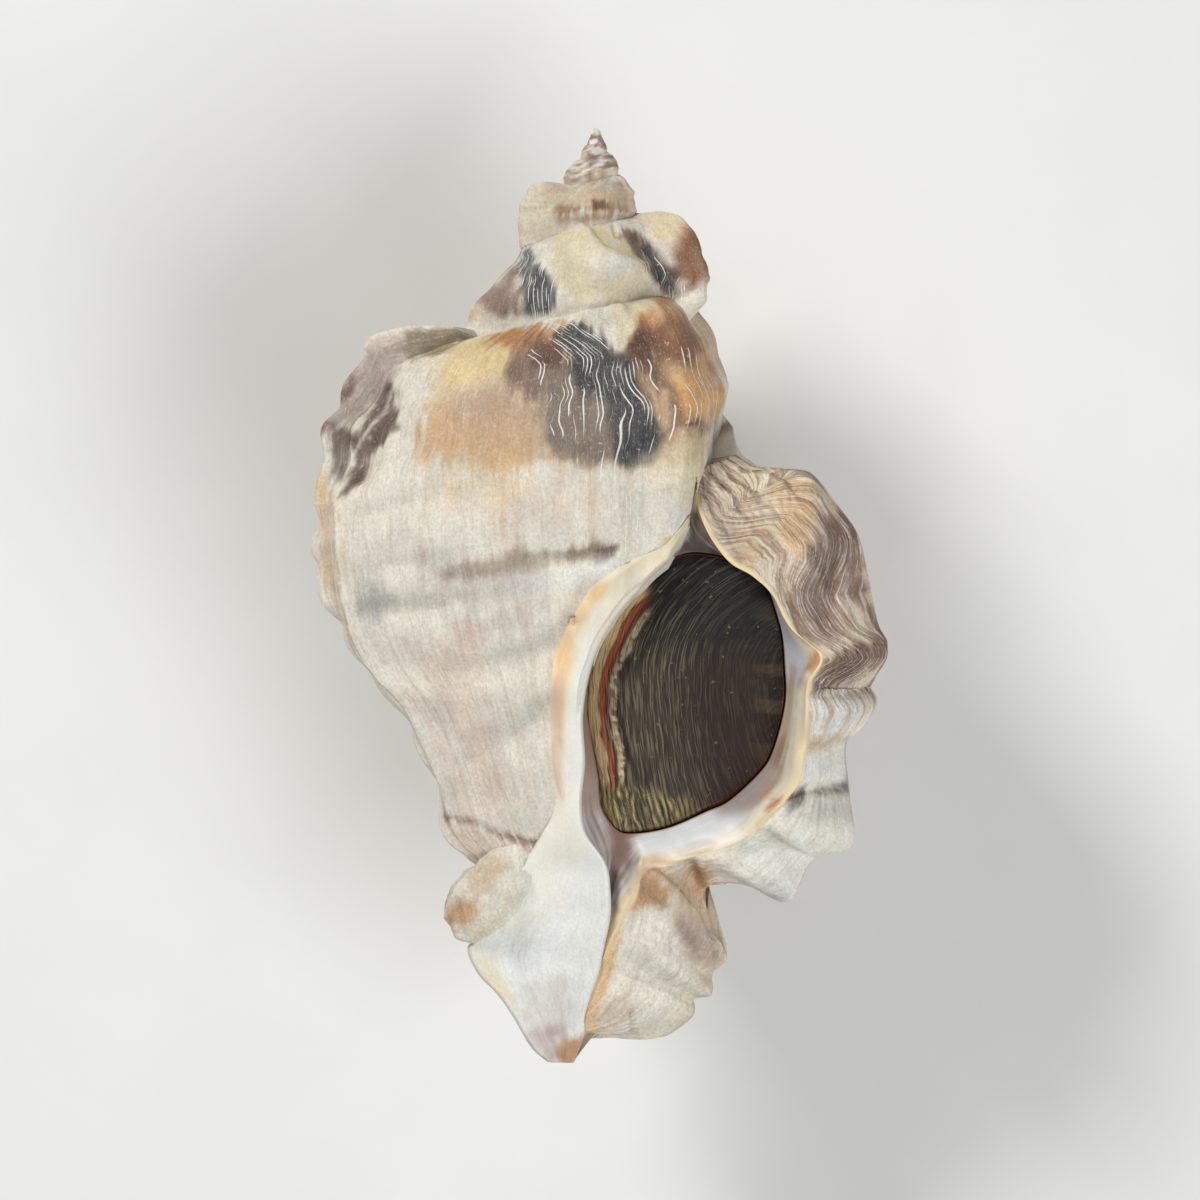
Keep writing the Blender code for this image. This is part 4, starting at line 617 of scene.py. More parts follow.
FRONT_LINES = (
    (0.55, 0.7, 0.9, ((-2.7, 29.6), (-1.1, 31.5), (0.2, 32.5), (2.2, 32.0))),
    (0.45, 0.35, 1.4, ((-16.2, 27.7), (-17.9, 26.7), (-20.5, 25.8), (-21.8, 25.7), (-23.2, 24.1),
                       (-23.8, 22.8), (-24.6, 20.8), (-25.2, 19.5), (-26.6, 18.9), (-27.7, 17.8),
                       (-27.5, 15.5), (-27.2, 13.8), (-27.7, 12.6), (-28.9, 11.7), (-29.5, 10.1),
                       (-28.8, 8.4), (-28.8, 5.2), (-28.7, 2.3), (-28.3, -0.5))),
    (-0.9, 0.9, 0.9, ((-23.2, 22.0), (-23.6, 19.6), (-25.0, 17.4), (-26.2, 15.4), (-26.4, 13.4))),
    (-0.5, 0.5, 0.8, ((-8.0, 4.0), (-2.0, 4.3), (1.6, 5.0))),
    (-0.30, 0.25, 0.25, ((1.4, 3.0), (3.3, 3.7))),
    (-0.6, 0.35, 0.35, ((-2.9, -2.9), (-2.7, -3.2))),
    (0.35, 1.6, 1.6, ((-11.0, 2.2), (-4.0, 2.6), (1.5, 3.0))),
    (-0.35, 1.5, 1.5, ((-16.0, -3.5), (-11.0, -3.2), (-6.0, -2.0))),
    (0.30, 1.4, 1.4, ((-16.0, -7.0), (-9.0, -5.0), (-4.5, -2.5))),
    (-0.35, 1.3, 1.3, ((-15.0, -10.5), (-9.0, -8.0), (-5.0, -5.5))),
    (0.30, 1.3, 1.3, ((-15.0, -15.0), (-9.5, -12.5), (-5.5, -9.5))),
    (-0.30, 1.3, 1.3, ((-14.0, -18.5), (-9.5, -16.0), (-6.0, -13.0))),
    (0.30, 0.5, 0.5, ((7.0, 16.5), (9.0, 14.0), (8.6, 12.4), (6.6, 12.0))),
    (-0.4, 0.3, 0.3, ((-16.5, -24.9), (-13.8, -25.3), (-11.4, -26.7), (-6.6, -27.7))),
    (0.35, 0.5, 0.9, ((4.2, 23.0), (5.2, 20.5), (7.0, 19.0), (7.6, 17.5))),
)
LIP_LINES = (
    (1.2, 2.6, 0.35, ((16.9, -25.6), (18.9, -25.2), (20.6, -26.7), (22.8, -27.7), (27.8, -27.5))),
    (0.9, 2.2, 0.35, ((22.9, -16.2), (25.6, -15.5), (29.2, -14.5))),
    (0.9, 2.2, 0.35, ((22.3, -10.5), (26.7, -10.2), (29.8, -9.1), (31.8, -7.4))),
    (-0.9, 0.6, 0.6, ((19.4, -22.7), (22.3, -21.7), (27.6, -20.8))),
    (0.9, 0.4, 2.2, ((4.9, -30.3), (6.2, -31.1), (8.1, -32.9), (11.8, -37.4))),
    (0.6, 1.8, 0.4, ((4.7, -30.3), (1.7, -36.6), (0.7, -39.4))),
    (-0.6, 0.2, 0.2, ((3.3, -46.3), (3.8, -49.6))),
    (-0.7, 0.7, 0.7, ((10.1, -30.1), (11.2, -34.4), (12.5, -39.9))),
    (0.5, 0.6, 0.6, ((11.6, -30.1), (12.6, -34.4), (13.6, -38.8))),
    (-0.7, 0.9, 0.9, ((15.4, -28.3), (17.5, -29.8), (19.6, -32.9))),
    (-0.8, 0.3, 0.3, ((19.6, 2.4), (20.9, -0.5), (22.3, -4.1), (24.3, -5.8))),
    (0.4, 0.8, 1.4, ((23.2, 13.3), (23.8, 8.4), (22.7, 3.4))),
)

# Where fine white lines show: from (x, y) to (x, y), reach to either side, strength
HAIR_STROKES = (
    (-3.5, 28.5, 0.5, 24.0, 2.3, 1.0), (0.5, 24.0, 3.8, 17.0, 2.8, 1.0), (-3.0, 22.0, 0.5, 15.5, 2.8, 0.6),
    (-7.4, 38.0, -6.2, 31.5, 1.6, 0.75), (4.2, 24.5, 4.8, 17.0, 1.8, 1.0), (5.0, 37.5, 8.6, 33.6, 0.9, 0.8),
    (4.0, 17.5, 11.0, 20.0, 1.8, 0.75), (1.5, 15.0, 3.6, 6.0, 1.8, 0.45), (8.0, 26.0, 12.0, 21.0, 2.2, 0.5),
    (-6.5, 25.5, -4.5, 19.0, 1.8, 0.4),
)
HAIR_SPACING = 0.62
HAIR_LEAN = 105.0           # how far the lines lean between the suture and the shoulder
HAIR_LEAN_END = 0.20
HAIR_BULGE = 3.2            # and how far they swing out round the shoulder knob
HAIR_BULGE_LEVEL = 0.34

# Bounds of the lip wing's trailing side in plan: x and the furthest y there
TRAIL_TOP = ((14.6, 21.0), (15.2, 17.0), (15.8, 15.6), (17.5, 14.4), (21.0, 13.9), (23.6, 13.2))
TRAIL_TOP_END = 24.0

# The notch beside the canal, its reach to the right and down, and the lowest y at the canal's end
TRAIL_NOTCH = (12.2, -32.3)
TRAIL_NOTCH_SIZE = (4.3, 6.4)
TRAIL_END = -49.4

# Floor of the canal, where the older whorls keep below the inner wall
CANAL_FLOOR = ((-2.6, -18.5), (0.5, -24.0), (4.5, -26.5), (5.5, -30.0), (2.5, -35.0), (0.2, -36.0),
               (-2.6, -27.0), (-3.0, -22.0))
CANAL_FLOOR_HEIGHT = 4.5

# Place and width of the view in metres, from straight above the aperture
CAMERA_HEIGHT = 0.95
FOCUS_HEIGHT = 0.036
VIEW_WIDTH = 1.2 / 9.0
VIEW_CENTRE = (0.00006, -0.0005)
SENSOR = 36.0

# Soft lamps: name, place, size, power, colour
LAMPS = (
    ("key", (-0.50, 0.50, 0.56), 0.24, 5.8, (1.0, 0.985, 0.96)),
    ("fill", (0.46, -0.40, 0.68), 0.60, 5.2, (0.98, 0.99, 1.0)),
)
LAMP_AIM = (0.0, 0.0, 0.03)
SKY = ((0.95, 0.97, 1.0, 1.0), 0.26)
FLOOR_REACH = 1.5


def smooth(value, low, high):
    """0 below low, 1 above high, and an even curve between."""
    q = np.clip((value - low) / (high - low), 0.0, 1.0)
    return q * q * (3.0 - 2.0 * q)


def band(value, low, high, fade, end):
    """0 below low, 1 from high to fade, 0 again above end, and even curves between."""
    return smooth(value, low, high) * (1.0 - smooth(value, fade, end))


def read(table, at):
    """Value of a table of pairs at a place, straight between its rows."""
    return np.interp(at, *zip(*table))


def channels(rows, *values):
    """The values side by side for each point of a grid."""
    return np.stack([np.broadcast_to(value, rows.shape[:2]) for value in values], -1)


def lift(height):
    return np.array([0.0, 0.0, height])


def curve_through(points, at, knots=None):
    """Smooth curve through the points, read at positions from 0 to 1."""
    points = np.asarray(points, float)
    count = len(points)
    knots = np.linspace(0.0, 1.0, count) if knots is None else np.asarray(knots, float)
    tangents = np.empty_like(points)
    tangents[1:-1] = (points[2:] - points[:-2]) / (knots[2:] - knots[:-2])[:, None]
    tangents[0] = (points[1] - points[0]) / (knots[1] - knots[0])
    tangents[-1] = (points[-1] - points[-2]) / (knots[-1] - knots[-2])
    at = np.clip(at, 0.0, 1.0)
    i = np.clip(np.searchsorted(knots, at, side="right") - 1, 0, count - 2)
    span = (knots[i + 1] - knots[i])[:, None]
    q = (at - knots[i])[:, None] / span
    start = 2 * q ** 3 - 3 * q ** 2 + 1
    leave = (q ** 3 - 2 * q ** 2 + q) * span
    arrive = (q ** 3 - q ** 2) * span
    return (start * points[i] + leave * tangents[i]
            + (1 - start) * points[i + 1] + arrive * tangents[i + 1])


def closed_curve(points, index):
    """Smooth closed curve through the points, read at fractional point numbers."""
    points = np.asarray(points, float)
    first = np.floor(index).astype(int)
    q = (index - first)[:, None]
    before, here, after, beyond = (points[(first + k) % len(points)] for k in (-1, 0, 1, 2))
    return 0.5 * (2 * here + (after - before) * q
                  + (2 * before - 5 * here + 4 * after - beyond) * q ** 2
                  + (3 * here - before - 3 * after + beyond) * q ** 3)


def generating_curve(levels, turn):
    """Distance from the axis and depth below the apex of a whorl's section at one turn."""
    lip = curve_through(CURVE_AT_LIP, levels, CURVE_LEVELS)
    old = curve_through(CURVE_ONE_TURN_BACK, levels, CURVE_LEVELS)
    if turn < -1.0:
        return old * EXPANSION ** (turn + 1.0)
    return lip ** (1.0 + turn) * old ** (-turn)


def place(radius, depth, turn):
    """Points of a section at their place round the axis."""
    angle = np.radians(LIP_ANGLE - 360.0 * turn)
    return np.stack([AXIS_X + radius * np.cos(angle), APEX_Y - depth, -radius * np.sin(angle)], -1)


def spire_wing_height(levels, turn):
    total = np.zeros_like(levels)
    for wing_turn, heights in SPIRE_WINGS.items():
        behind = turn - wing_turn
        width = SPIRE_WING_REACH[0] if behind < 0 else SPIRE_WING_REACH[1]
        total += np.exp(-(behind / width) ** 2) * np.interp(levels, SPIRE_WING_LEVELS, heights)
    return total


def knob_height(levels, turn):
    along = sum(h * np.exp(-((turn - at) / width) ** 2) for at, h, width in SHOULDER_KNOBS)
    return along * np.exp(-((levels - KNOB_LEVEL) / KNOB_SPREAD) ** 2)


def crease_height(points, creases):
    """Height of crests and furrows, each a soft ridge along a straight line of the plan."""
    total = np.zeros(points.shape[:-1])
    for x0, y0, x1, y1, width, height in creases:
        total += height * np.exp(-(line_distance(points, (x0, y0), (x1, y1)) / width) ** 2)
    return total


def whorl_section(levels, turn):
    """Outer side of the whorl at one turn, with its old wings, knobs and cords."""
    section = generating_curve(levels, turn)
    size = EXPANSION ** turn
    wing = spire_wing_height(levels, turn) * size
    knob = knob_height(levels, turn) * size
    cord = CORD_HEIGHT * size * np.cos(2 * np.pi * CORDS * levels) * smooth(levels, 0.0, 0.1)
    raised = 0.3 * wing * (1.0 - smooth(levels, 0.0, 0.25))
    points = place(section[:, 0] + wing + knob + cord, section[:, 1] - raised, turn)
    if turn > BODY_CREASES_FROM:
        facing = smooth(points[:, 2], 2.0, 6.0)
        points[:, 2] += facing * crease_height(points, BODY_CREASES)
    return points


def inner_places():
    """Shares of the way at which the inner side of a whorl has its points."""
    return np.linspace(0.0, 1.0, INNER_POINTS + 2)[1:-1]


def hidden_section(turn):
    """Inner side of the whorl, close to the axis, from the canal's end up to the suture."""
    q = inner_places()
    canal, suture = generating_curve(np.array([1.0, 0.0]), turn)
    core = 0.25 * canal[0]
    radius = np.interp(q, (0.0, 0.75, 1.0), (core, core, 0.8 * suture[0]))
    return place(radius, canal[1] + (suture[1] - canal[1]) * q, turn)


def lip_knots():
    to_canal = np.linspace(0.0, LIP_CANAL_LEVEL, LIP_CANAL_STATION + 1)
    beyond = np.linspace(LIP_CANAL_LEVEL, 1.0, len(LIP_WING) - LIP_CANAL_STATION)
    return np.concatenate([to_canal, beyond[1:]])


def lip_stations(levels):
    """Number of the row of the lip wing's table at each level, with its fraction."""
    return np.interp(levels, lip_knots(), np.arange(len(LIP_WING)))


def lip_wing_lines(levels):
    """Free edge, rim and fold of the lip wing at the levels."""
    table = curve_through(LIP_WING, levels, lip_knots())
    table[:, 3] -= CANAL_CLOSES * band(levels, 0.74, 0.84, 0.95, 1.0)
    return table[:, :3], table[:, 3:6], table[:, 6]


def left_wing_lines(levels):
    """Edges of the front and the outer lamella of the left wing."""
    table = curve_through(LEFT_WING, levels / LEFT_WING_END)
    front, outer = table[:, :3].copy(), table[:, 3:].copy()
    lobe = np.abs(np.cos(np.pi * LEFT_LOBES * levels / LEFT_WING_END)) ** 1.5 - 0.5
    outer[:, 0] -= LEFT_LOBE_HEIGHT * 2.0 * lobe * smooth(levels, 0.05, 0.2)
    run_out = smooth(levels, LEFT_WING_END, 1.0)[:, None]
    end = np.array(OLD_CANAL)
    return front * (1 - run_out) + end * run_out, outer * (1 - run_out) + end * run_out


def back_wing_edge(levels, turn):
    """Crest of the back wing at one turn within it."""
    section = generating_curve(levels, turn)
    wave = np.cos(2 * np.pi * BACK_LOBES * levels)
    turn = turn + BACK_WAVE * wave
    lobe = BACK_LOBE_HEIGHT * (wave - 0.4)
    height = (BACK_HEIGHT + lobe) * smooth(levels, -0.02, 0.16)
    height = height * (1.0 - 0.75 * smooth(levels, 0.5, 1.0))
    return place(section[:, 0] + height, section[:, 1] + 0.6, turn)


def lip_step_height(levels):
    """Rise of each lobe of the lip wing to its lower edge, and the drop to the next."""
    station = lip_stations(levels)
    total = np.zeros_like(levels)
    for edge, height in LIP_STEPS:
        rise = np.exp(-np.clip(edge - station, 0.0, None) / 0.7) * (station <= edge)
        drop = np.exp(-np.clip(station - edge, 0.0, None) / 0.6) * (station > edge)
        total += height * (rise - 0.8 * drop)
    return total


def columella_edge(drop):
    return curve_through(COLUMELLA_EDGE, inner_places()) - lift(drop)


def operculum_face(y):
    return OPERCULUM_HEIGHT + OPERCULUM_SLOPE * y


def grown(outline, amount):
    """The outline, moved away from the aperture's centre."""
    away = outline - APERTURE_CENTRE
    return outline + amount * away / np.linalg.norm(away, axis=1)[:, None]


def operculum_seat(levels):
    """Outline round the operculum, at the points that face the rim and the columella edge."""
    at = inner_places() * (len(COLUMELLA_EDGE) - 1)
    index = np.concatenate([read(RIM_FACES, lip_stations(levels)), read(COLUMELLA_FACES, at)])
    outline = grown(closed_curve(OPERCULUM_OUTLINE, index), 0.6 * CLEARANCE)
    return np.column_stack([outline, operculum_face(outline[:, 1])])


def share_of_aperture(points):
    """Distance of points from the aperture's centre as a share of the rim's distance."""
    rim = np.array(LIP_WING)[:LIP_CANAL_STATION + 1, 3:5]
    loop = np.vstack([rim, np.array(COLUMELLA_EDGE)[COLUMELLA_ABOVE_CANAL:, :2]])
    away = loop - APERTURE_CENTRE
    angles = np.arctan2(away[:, 1], away[:, 0])
    order = np.argsort(angles)
    angles = angles[order]
    radii = np.linalg.norm(away, axis=1)[order]
    angles = np.concatenate([angles - 2 * np.pi, angles, angles + 2 * np.pi])
    off = points - APERTURE_CENTRE
    at = np.arctan2(off[..., 1], off[..., 0])
    return np.linalg.norm(off, axis=-1) / np.interp(at, angles, np.tile(radii, 3))


def clear_aperture(rows):
    """Lower what the older whorls hold inside the aperture to below its inner wall."""
    share = share_of_aperture(rows[..., :2])
    limit = operculum_face(rows[..., 1]) + read(APERTURE_CLEAR, share)
    rows[..., 2] = np.where(share < APERTURE_CLEAR[-1][0], np.minimum(rows[..., 2], limit), rows[..., 2])
    canal = area_depth(rows, CANAL_FLOOR) > 0.0
    rows[..., 2] = np.where(canal, np.minimum(rows[..., 2], CANAL_FLOOR_HEIGHT), rows[..., 2])
    return rows


def keep_behind(skin):
    """Keep the trailing side of the lip wing behind the wing's own outline."""
    x, y, z = np.moveaxis(skin.rows, -1, 0)
    trail = skin.is_kind("body", "under")
    top = read(TRAIL_TOP, x)
    above = trail & (x > TRAIL_TOP[0][0]) & (y > top) & (y < TRAIL_TOP_END)
    y = np.where(above, top + 0.1 * (y - top), y)
    right, down = x - TRAIL_NOTCH[0], TRAIL_NOTCH[1] - y
    notch = trail & (right > 0) & (right < TRAIL_NOTCH_SIZE[0]) & (down > 0) & (down < TRAIL_NOTCH_SIZE[1])
    x = np.where(notch, TRAIL_NOTCH[0] + 0.1 * right, x)
    y = np.where(notch, TRAIL_NOTCH[1] - 0.1 * down, y)
    low = trail * smooth(x, -3.0, -1.8) * (y < TRAIL_END)
    y = y + low * 0.9 * (TRAIL_END - y)
    skin.rows = np.stack([x, y, z], -1)


def hair_strands(skin):
    """Count of the fine white lines, which lean and swing together."""
    age, along, level = skin.age, skin.along, skin.level
    lean = HAIR_LEAN * np.minimum(level, HAIR_LEAN_END)
    bulge = HAIR_BULGE * np.exp(-((level - HAIR_BULGE_LEVEL) / 0.06) ** 2)
    bulge = bulge * smooth(skin.rows[..., 0], 1.0, 5.0)
    swing = 0.9 * noise(along / 7, age / 16, 81) + 0.75 * noise(along / 2.2, age / 7, 82)
    return age / HAIR_SPACING + lean + bulge + swing


def lattice(i, j, seed):
    """Random value from 0 to 1 at each whole-number place, always the same."""
    mixed = (i * 374761393 + j * 668265263 + seed * 974634777) & 0xFFFFFFFF
    mixed = ((mixed ^ (mixed >> 13)) * 1274126177) & 0xFFFFFFFF
    return ((mixed ^ (mixed >> 16)) & 0xFFFF) / 65535.0


def noise(x, y, seed=0):
    """Smooth noise from -1 to 1 over a plane."""
    x, y = np.broadcast_arrays(x, y)
    i, j = np.floor(x).astype(np.int64), np.floor(y).astype(np.int64)
    u, v = x - i, y - j
    u, v = u * u * (3 - 2 * u), v * v * (3 - 2 * v)
    near = lattice(i, j, seed) * (1 - u) + lattice(i + 1, j, seed) * u
    far = lattice(i, j + 1, seed) * (1 - u) + lattice(i + 1, j + 1, seed) * u
    return 2 * (near * (1 - v) + far * v) - 1


def layers(x, seed, steep=0.15):
    """Overlapping layers, one for each whole number: a slow rise of the surface, then a drop."""
    first = np.floor(x).astype(np.int64)
    q = x - first
    height = 0.4 + 0.6 * lattice(first, 0, seed)
    slope = np.where(q < 1 - steep, (q / (1 - steep)) ** 1.5, (1 - q) / steep)
    return height * slope


class Whorls:
    """The growing tube of the shell as rows of points, each row a closed loop."""

    def __init__(self, columns):
        self.levels = np.linspace(0.0, 1.0, columns)
        self.rows = []
        self.turns = []
        self.wings = []
        self.kinds = []

    def add(self, outer, inner, turn, wing=0.0, kind="body"):
        self.rows.append(np.vstack([outer, inner]))
        self.turns.append(turn)
        self.wings.append(wing)
        self.kinds.append(kind)

    def begin(self, turn):
        """First rows, kept just below the surface of the piece before."""
        for q in np.linspace(0.0, 1.0, 5, endpoint=False):
            at = turn - OVERLAP * (1.0 - q)
            row = whorl_section(self.levels, at)
            centre = np.array([AXIS_X, 0.0, 0.0])
            out = (row - centre) * np.array([1.0, 0.0, 1.0])
            out /= np.maximum(np.linalg.norm(out, axis=1), 1e-6)[:, None]
            self.add(row - INSET * (1.0 - q) * out, hidden_section(at), at)

    def grow(self, start, end, count):
        """Plain whorl from one turn to another."""
        for turn in np.linspace(start, end, count, endpoint=False):
            self.add(whorl_section(self.levels, turn), hidden_section(turn), turn)

    def rise(self, start, end, count, tip, belly=0.0):
        """Trailing side of a wing, which sweeps up from the whorl to its edge."""
        root = whorl_section(self.levels, end)
        for q in np.linspace(0.0, 1.0, count, endpoint=False):
            turn = start + (end - start) * (1.0 - (1.0 - q) ** 1.3)
            row = whorl_section(self.levels, turn) + q ** 1.7 * (tip - root)
            row[:, 2] += belly * np.sin(np.pi * q ** 2.5)
            self.add(row, hidden_section(turn), turn, q)

    def fall(self, start, end, count, tip):
        """Leading side of a wing, from its edge back down to the whorl."""
        for q in np.linspace(0.0, 1.0, count + 1)[1:]:
            turn = start + (end - start) * q
            body = whorl_section(self.levels, turn)
            row = body + (1.0 - q) ** 1.15 * (tip - body)
            self.add(row, hidden_section(turn), turn, 1.0 - q, "under")


def add_left_wing(whorls):
    front, outer = left_wing_lines(whorls.levels)
    hidden = hidden_section(LEFT_TURN)
    width = np.linalg.norm((outer - front)[:, :2], axis=1)
    belly = LEFT_BELLY * smooth(width, 0.5, 3.0)
    whorls.rise(LEFT_RAMP_START, LEFT_TURN, 150, front, belly)
    for share in np.linspace(0.0, 1.0, 34) ** 1.2:
        row = front + share * (outer - front)
        row[:, 2] -= read(LEFT_STEP, share) * smooth(width, 0.3, 2.0)
        whorls.add(row, hidden, LEFT_TURN, 1.0, "step")
    under = outer - lift(EDGE_THICKNESS)
    for drop in (0.35, 0.8, 1.0):
        whorls.add(outer + drop * (under - outer), hidden, LEFT_TURN, 1.0, "under")
    whorls.fall(LEFT_TURN, LEFT_FALL_END, 34, under)


def add_back_wing(whorls):
    first, last = BACK_TURNS
    whorls.rise(BACK_RAMP_START, first, 70, back_wing_edge(whorls.levels, first))
    for q in np.linspace(0.0, 1.0, 44):
        turn = first + (last - first) * q
        edge = back_wing_edge(whorls.levels, turn)
        groove = BACK_GROOVE * 0.5 * (1.0 - np.cos(2 * np.pi * 3 * q)) * (0.2 < q < 0.8)
        edge[:, 2] += groove * smooth(np.abs(whorls.levels - 0.4), 0.1, 0.16)
        whorls.add(edge, hidden_section(turn), turn, 1.0, "crest")
    whorls.fall(last, BACK_FALL_END, 34, back_wing_edge(whorls.levels, last))


def add_lip(whorls):
    """Lip wing, its leading face, the rim, the inner wall and the cavity."""
    levels = whorls.levels
    columns = len(levels)
    edge, rim, fold = lip_wing_lines(levels)
    swell = 0.5 * fold + 0.8 * lip_step_height(levels)
    width = np.linalg.norm(rim - edge, axis=1)
    behind = edge.copy()
    behind[:, 2] += swell - EDGE_THICKNESS
    start = hidden_section(0.0)
    below = columella_edge(3.0)
    whorls.rise(LIP_RAMP_START, LIP_RAMP_END, 90, behind)
    whorls.add(behind, start, 0.0, 1.0, "under")
    for q in np.linspace(0.0, 1.0, 190, endpoint=False):
        row = edge + q * (rim - edge)
        arch = np.sin(np.pi * q)
        row[:, 2] += arch * width / 9.0 + (1.0 - q ** 2) * swell
        row[:, 2] += arch ** 0.5 * crease_height(row, LIP_CREASES)
        whorls.add(row, start + q * (below - start), 0.0, 1.0 - q, "lip")
    rim_loop = np.vstack([rim, columella_edge(0.5)])
    seat = operculum_seat(levels)
    for q in np.linspace(0.0, 1.0, 46):
        turned = np.sin(0.5 * np.pi * q)
        loop = rim_loop + turned ** 1.2 * (seat - rim_loop)
        loop[:, 2] = rim_loop[:, 2] + (seat[:, 2] - rim_loop[:, 2]) * turned ** 1.5
        whorls.add(loop[:columns], loop[columns:], 0.0, q, "wall")
    for share, depth in CAVITY:
        loop = seat - lift(depth)
        loop[:, :2] = APERTURE_CENTRE + share * (seat[:, :2] - APERTURE_CENTRE)
        loop[:, 0] += CAVITY_LEAN * depth
        whorls.add(loop[:columns], loop[columns:], 0.0, 1.0, "cavity")


WINGS = {"front": add_left_wing, "back_left": add_back_wing, "lip": add_lip}


def build_whorls(name):
    """One stretch of whorl with its wing; all but the first start inside the one before."""
    columns, turn, steps = STRETCHES[name]
    whorls = Whorls(columns)
    if turn > FIRST_TURN:
        whorls.begin(turn)
    for end, count in steps:
        whorls.grow(turn, end, count)
        turn = end
    if name in WINGS:
        WINGS[name](whorls)
    return finish_whorls(whorls, name)


class Skin:
    """A grid of points with the coordinates and masks that its relief and colours use."""

    def __init__(self, rows, turns, wings, kinds, columns):
        self.rows = rows
        self.turn = np.asarray(turns)[:, None]
        self.wing = np.asarray(wings)[:, None]
        self.kinds = np.asarray(kinds)[:, None]
        self.size = EXPANSION ** self.turn
        step = np.linalg.norm(np.diff(rows[:, :columns], axis=0), axis=2).mean(axis=1)
        self.age = np.concatenate([[0.0], np.cumsum(step / self.size[1:, 0])])[:, None]
        self.level = np.zeros((1, rows.shape[1]))
        self.level[0, :columns] = np.linspace(0.0, 1.0, columns)
        self.outer = (np.arange(rows.shape[1]) < columns)[None, :]
        self.along = self.level * CURVE_LENGTH

    def is_kind(self, *names):
        return np.isin(self.kinds, names) & self.outer

    def normals(self):
        ahead = np.gradient(self.rows, axis=0)
        across = np.roll(self.rows, -1, axis=1) - np.roll(self.rows, 1, axis=1)
        out = np.cross(ahead, across)
        return out / np.maximum(np.linalg.norm(out, axis=2), 1e-9)[..., None]

    def raise_by(self, height):
        self.rows = self.rows + (height * self.outer)[..., None] * self.normals()


def growth_relief(skin):
    """Growth layers and gentle swells on the outside of the whorls."""
    age, along = skin.age, skin.along
    wiggle = 0.5 * noise(along / 5, age / 12, 1) + 0.25 * noise(along / 2, age / 6, 2)
    coarse = 0.16 * layers(age / 2.6 + wiggle, 3)
    fine = 0.07 * layers(age / 1.0 + 1.6 * wiggle, 4, 0.25)
    swell = 0.22 * noise(age / 8, along / 9, 5) + 0.10 * noise(age / 3, along / 3.5, 6)
    return (coarse + fine + swell) * skin.size


def line_relief(skin, table):
    """Raised or sunken details along lines in plan: height, width left and width right."""
    height = np.zeros(skin.rows.shape[:2])
    facing = skin.rows[..., 2] > 0.0
    for rise, left, right, line in table:
        off = edge_offset(skin.rows, line)
        width = np.where(off < 0, left, right)
        height = height + rise * np.exp(-(off / width) ** 2) * facing
    return height


def lamina_share(skin):
    """Place on the leading face of the lip wing, counted along its wavy growth lines."""
    q = 1.0 - skin.wing
    station = lip_stations(skin.level)
    return q - read(LAMINA_BENDS, station) * np.sin(np.pi * q) ** 0.8, station, q


def lip_layers(skin):
    """Counts of the layers on the lip wing, and the count and strength of its corner's shelves."""
    share, station, q = lamina_share(skin)
    reach = share * read(LIP_WIDTHS, station)
    wiggle = 0.35 * noise(skin.along / 3, share * 6, 11) + 0.2 * noise(skin.along / 1.3, share * 11, 12)
    counts = [-reach / spacing + wave * wiggle for spacing, wave, _, _, _ in LAMINAE]
    return counts, -q * 4.6 + 0.4 * wiggle, 1.0 - smooth(station, 1.6, 4.6)


def lip_relief(skin):
    counts, shelves, corner = lip_layers(skin)
    _, station, q = lamina_share(skin)
    across = band(q, 0.02, 0.10, 0.93, 1.0)
    plates = sum(height * layers(count, seed, steep)
                 for count, (_, _, height, seed, steep) in zip(counts, LAMINAE))
    calm = 1.0 - 0.6 * smooth(station, 9.0, 11.0)
    return across * calm * plates + across * 1.1 * corner * layers(shelves, 15, 0.10)


def crevice_shade(count, width):
    """Narrow bands where one layer ends on the next, for painted shade."""
    return band(count - np.floor(count), 1.0 - 2.2 * width, 1.0 - 1.2 * width, 1.0 - width, 1.0)


def linear(colour):
    colour = np.asarray(colour, float)
    return np.where(colour <= 0.04045, colour / 12.92, ((colour + 0.055) / 1.055) ** 2.4)


class Paint:
    """Colours of a grid of points, laid on in layers."""

    def __init__(self, rows, colour, streaks=None):
        self.rows = rows
        self.colour = np.ones(rows.shape) * np.array(PALETTE[colour])
        self.warp = 0.5 * noise(rows[..., 0] / 2.2, rows[..., 1] / 2.2, 21)
        self.warp = self.warp + 0.35 * noise(rows[..., 0] / 0.8, rows[..., 1] / 0.8, 22)
        if streaks is not None:
            self.warp = self.warp + streaks

    def lay(self, colour, share):
        share = np.clip(share, 0.0, 1.0)[..., None]
        self.colour = self.colour + share * (np.array(PALETTE[colour]) - self.colour)

    def area(self, colour, strength, soft, corners, where=1.0):
        """Lays a colour over an area with the given corners and a soft, streaky edge."""
        soft = 0.2 + 1.8 * soft
        inside = area_depth(self.rows, corners) + (0.15 + 0.75 * soft) * self.warp
        share = strength * (0.92 + 0.22 * self.warp) * smooth(inside, -soft, soft)
        self.lay(colour, np.clip(share, 0.0, 0.97) * where)

    def areas(self, table, where=1.0):
        for row in table:
            self.area(*row, where=where)

    def strokes(self, table, where=1.0):
        for colour, strength, reach, points in table:
            far = np.abs(edge_offset(self.rows, points))
            self.lay(colour, strength * (1.0 - smooth(far, 0.4 * reach, reach)) * where)


def line_distance(rows, start, end):
    start = np.asarray(start, float)
    run = np.asarray(end, float) - start
    off = rows[..., :2] - start
    along = np.clip(off @ run / max(run @ run, 1e-9), 0.0, 1.0)
    return np.linalg.norm(off - along[..., None] * run, axis=-1)


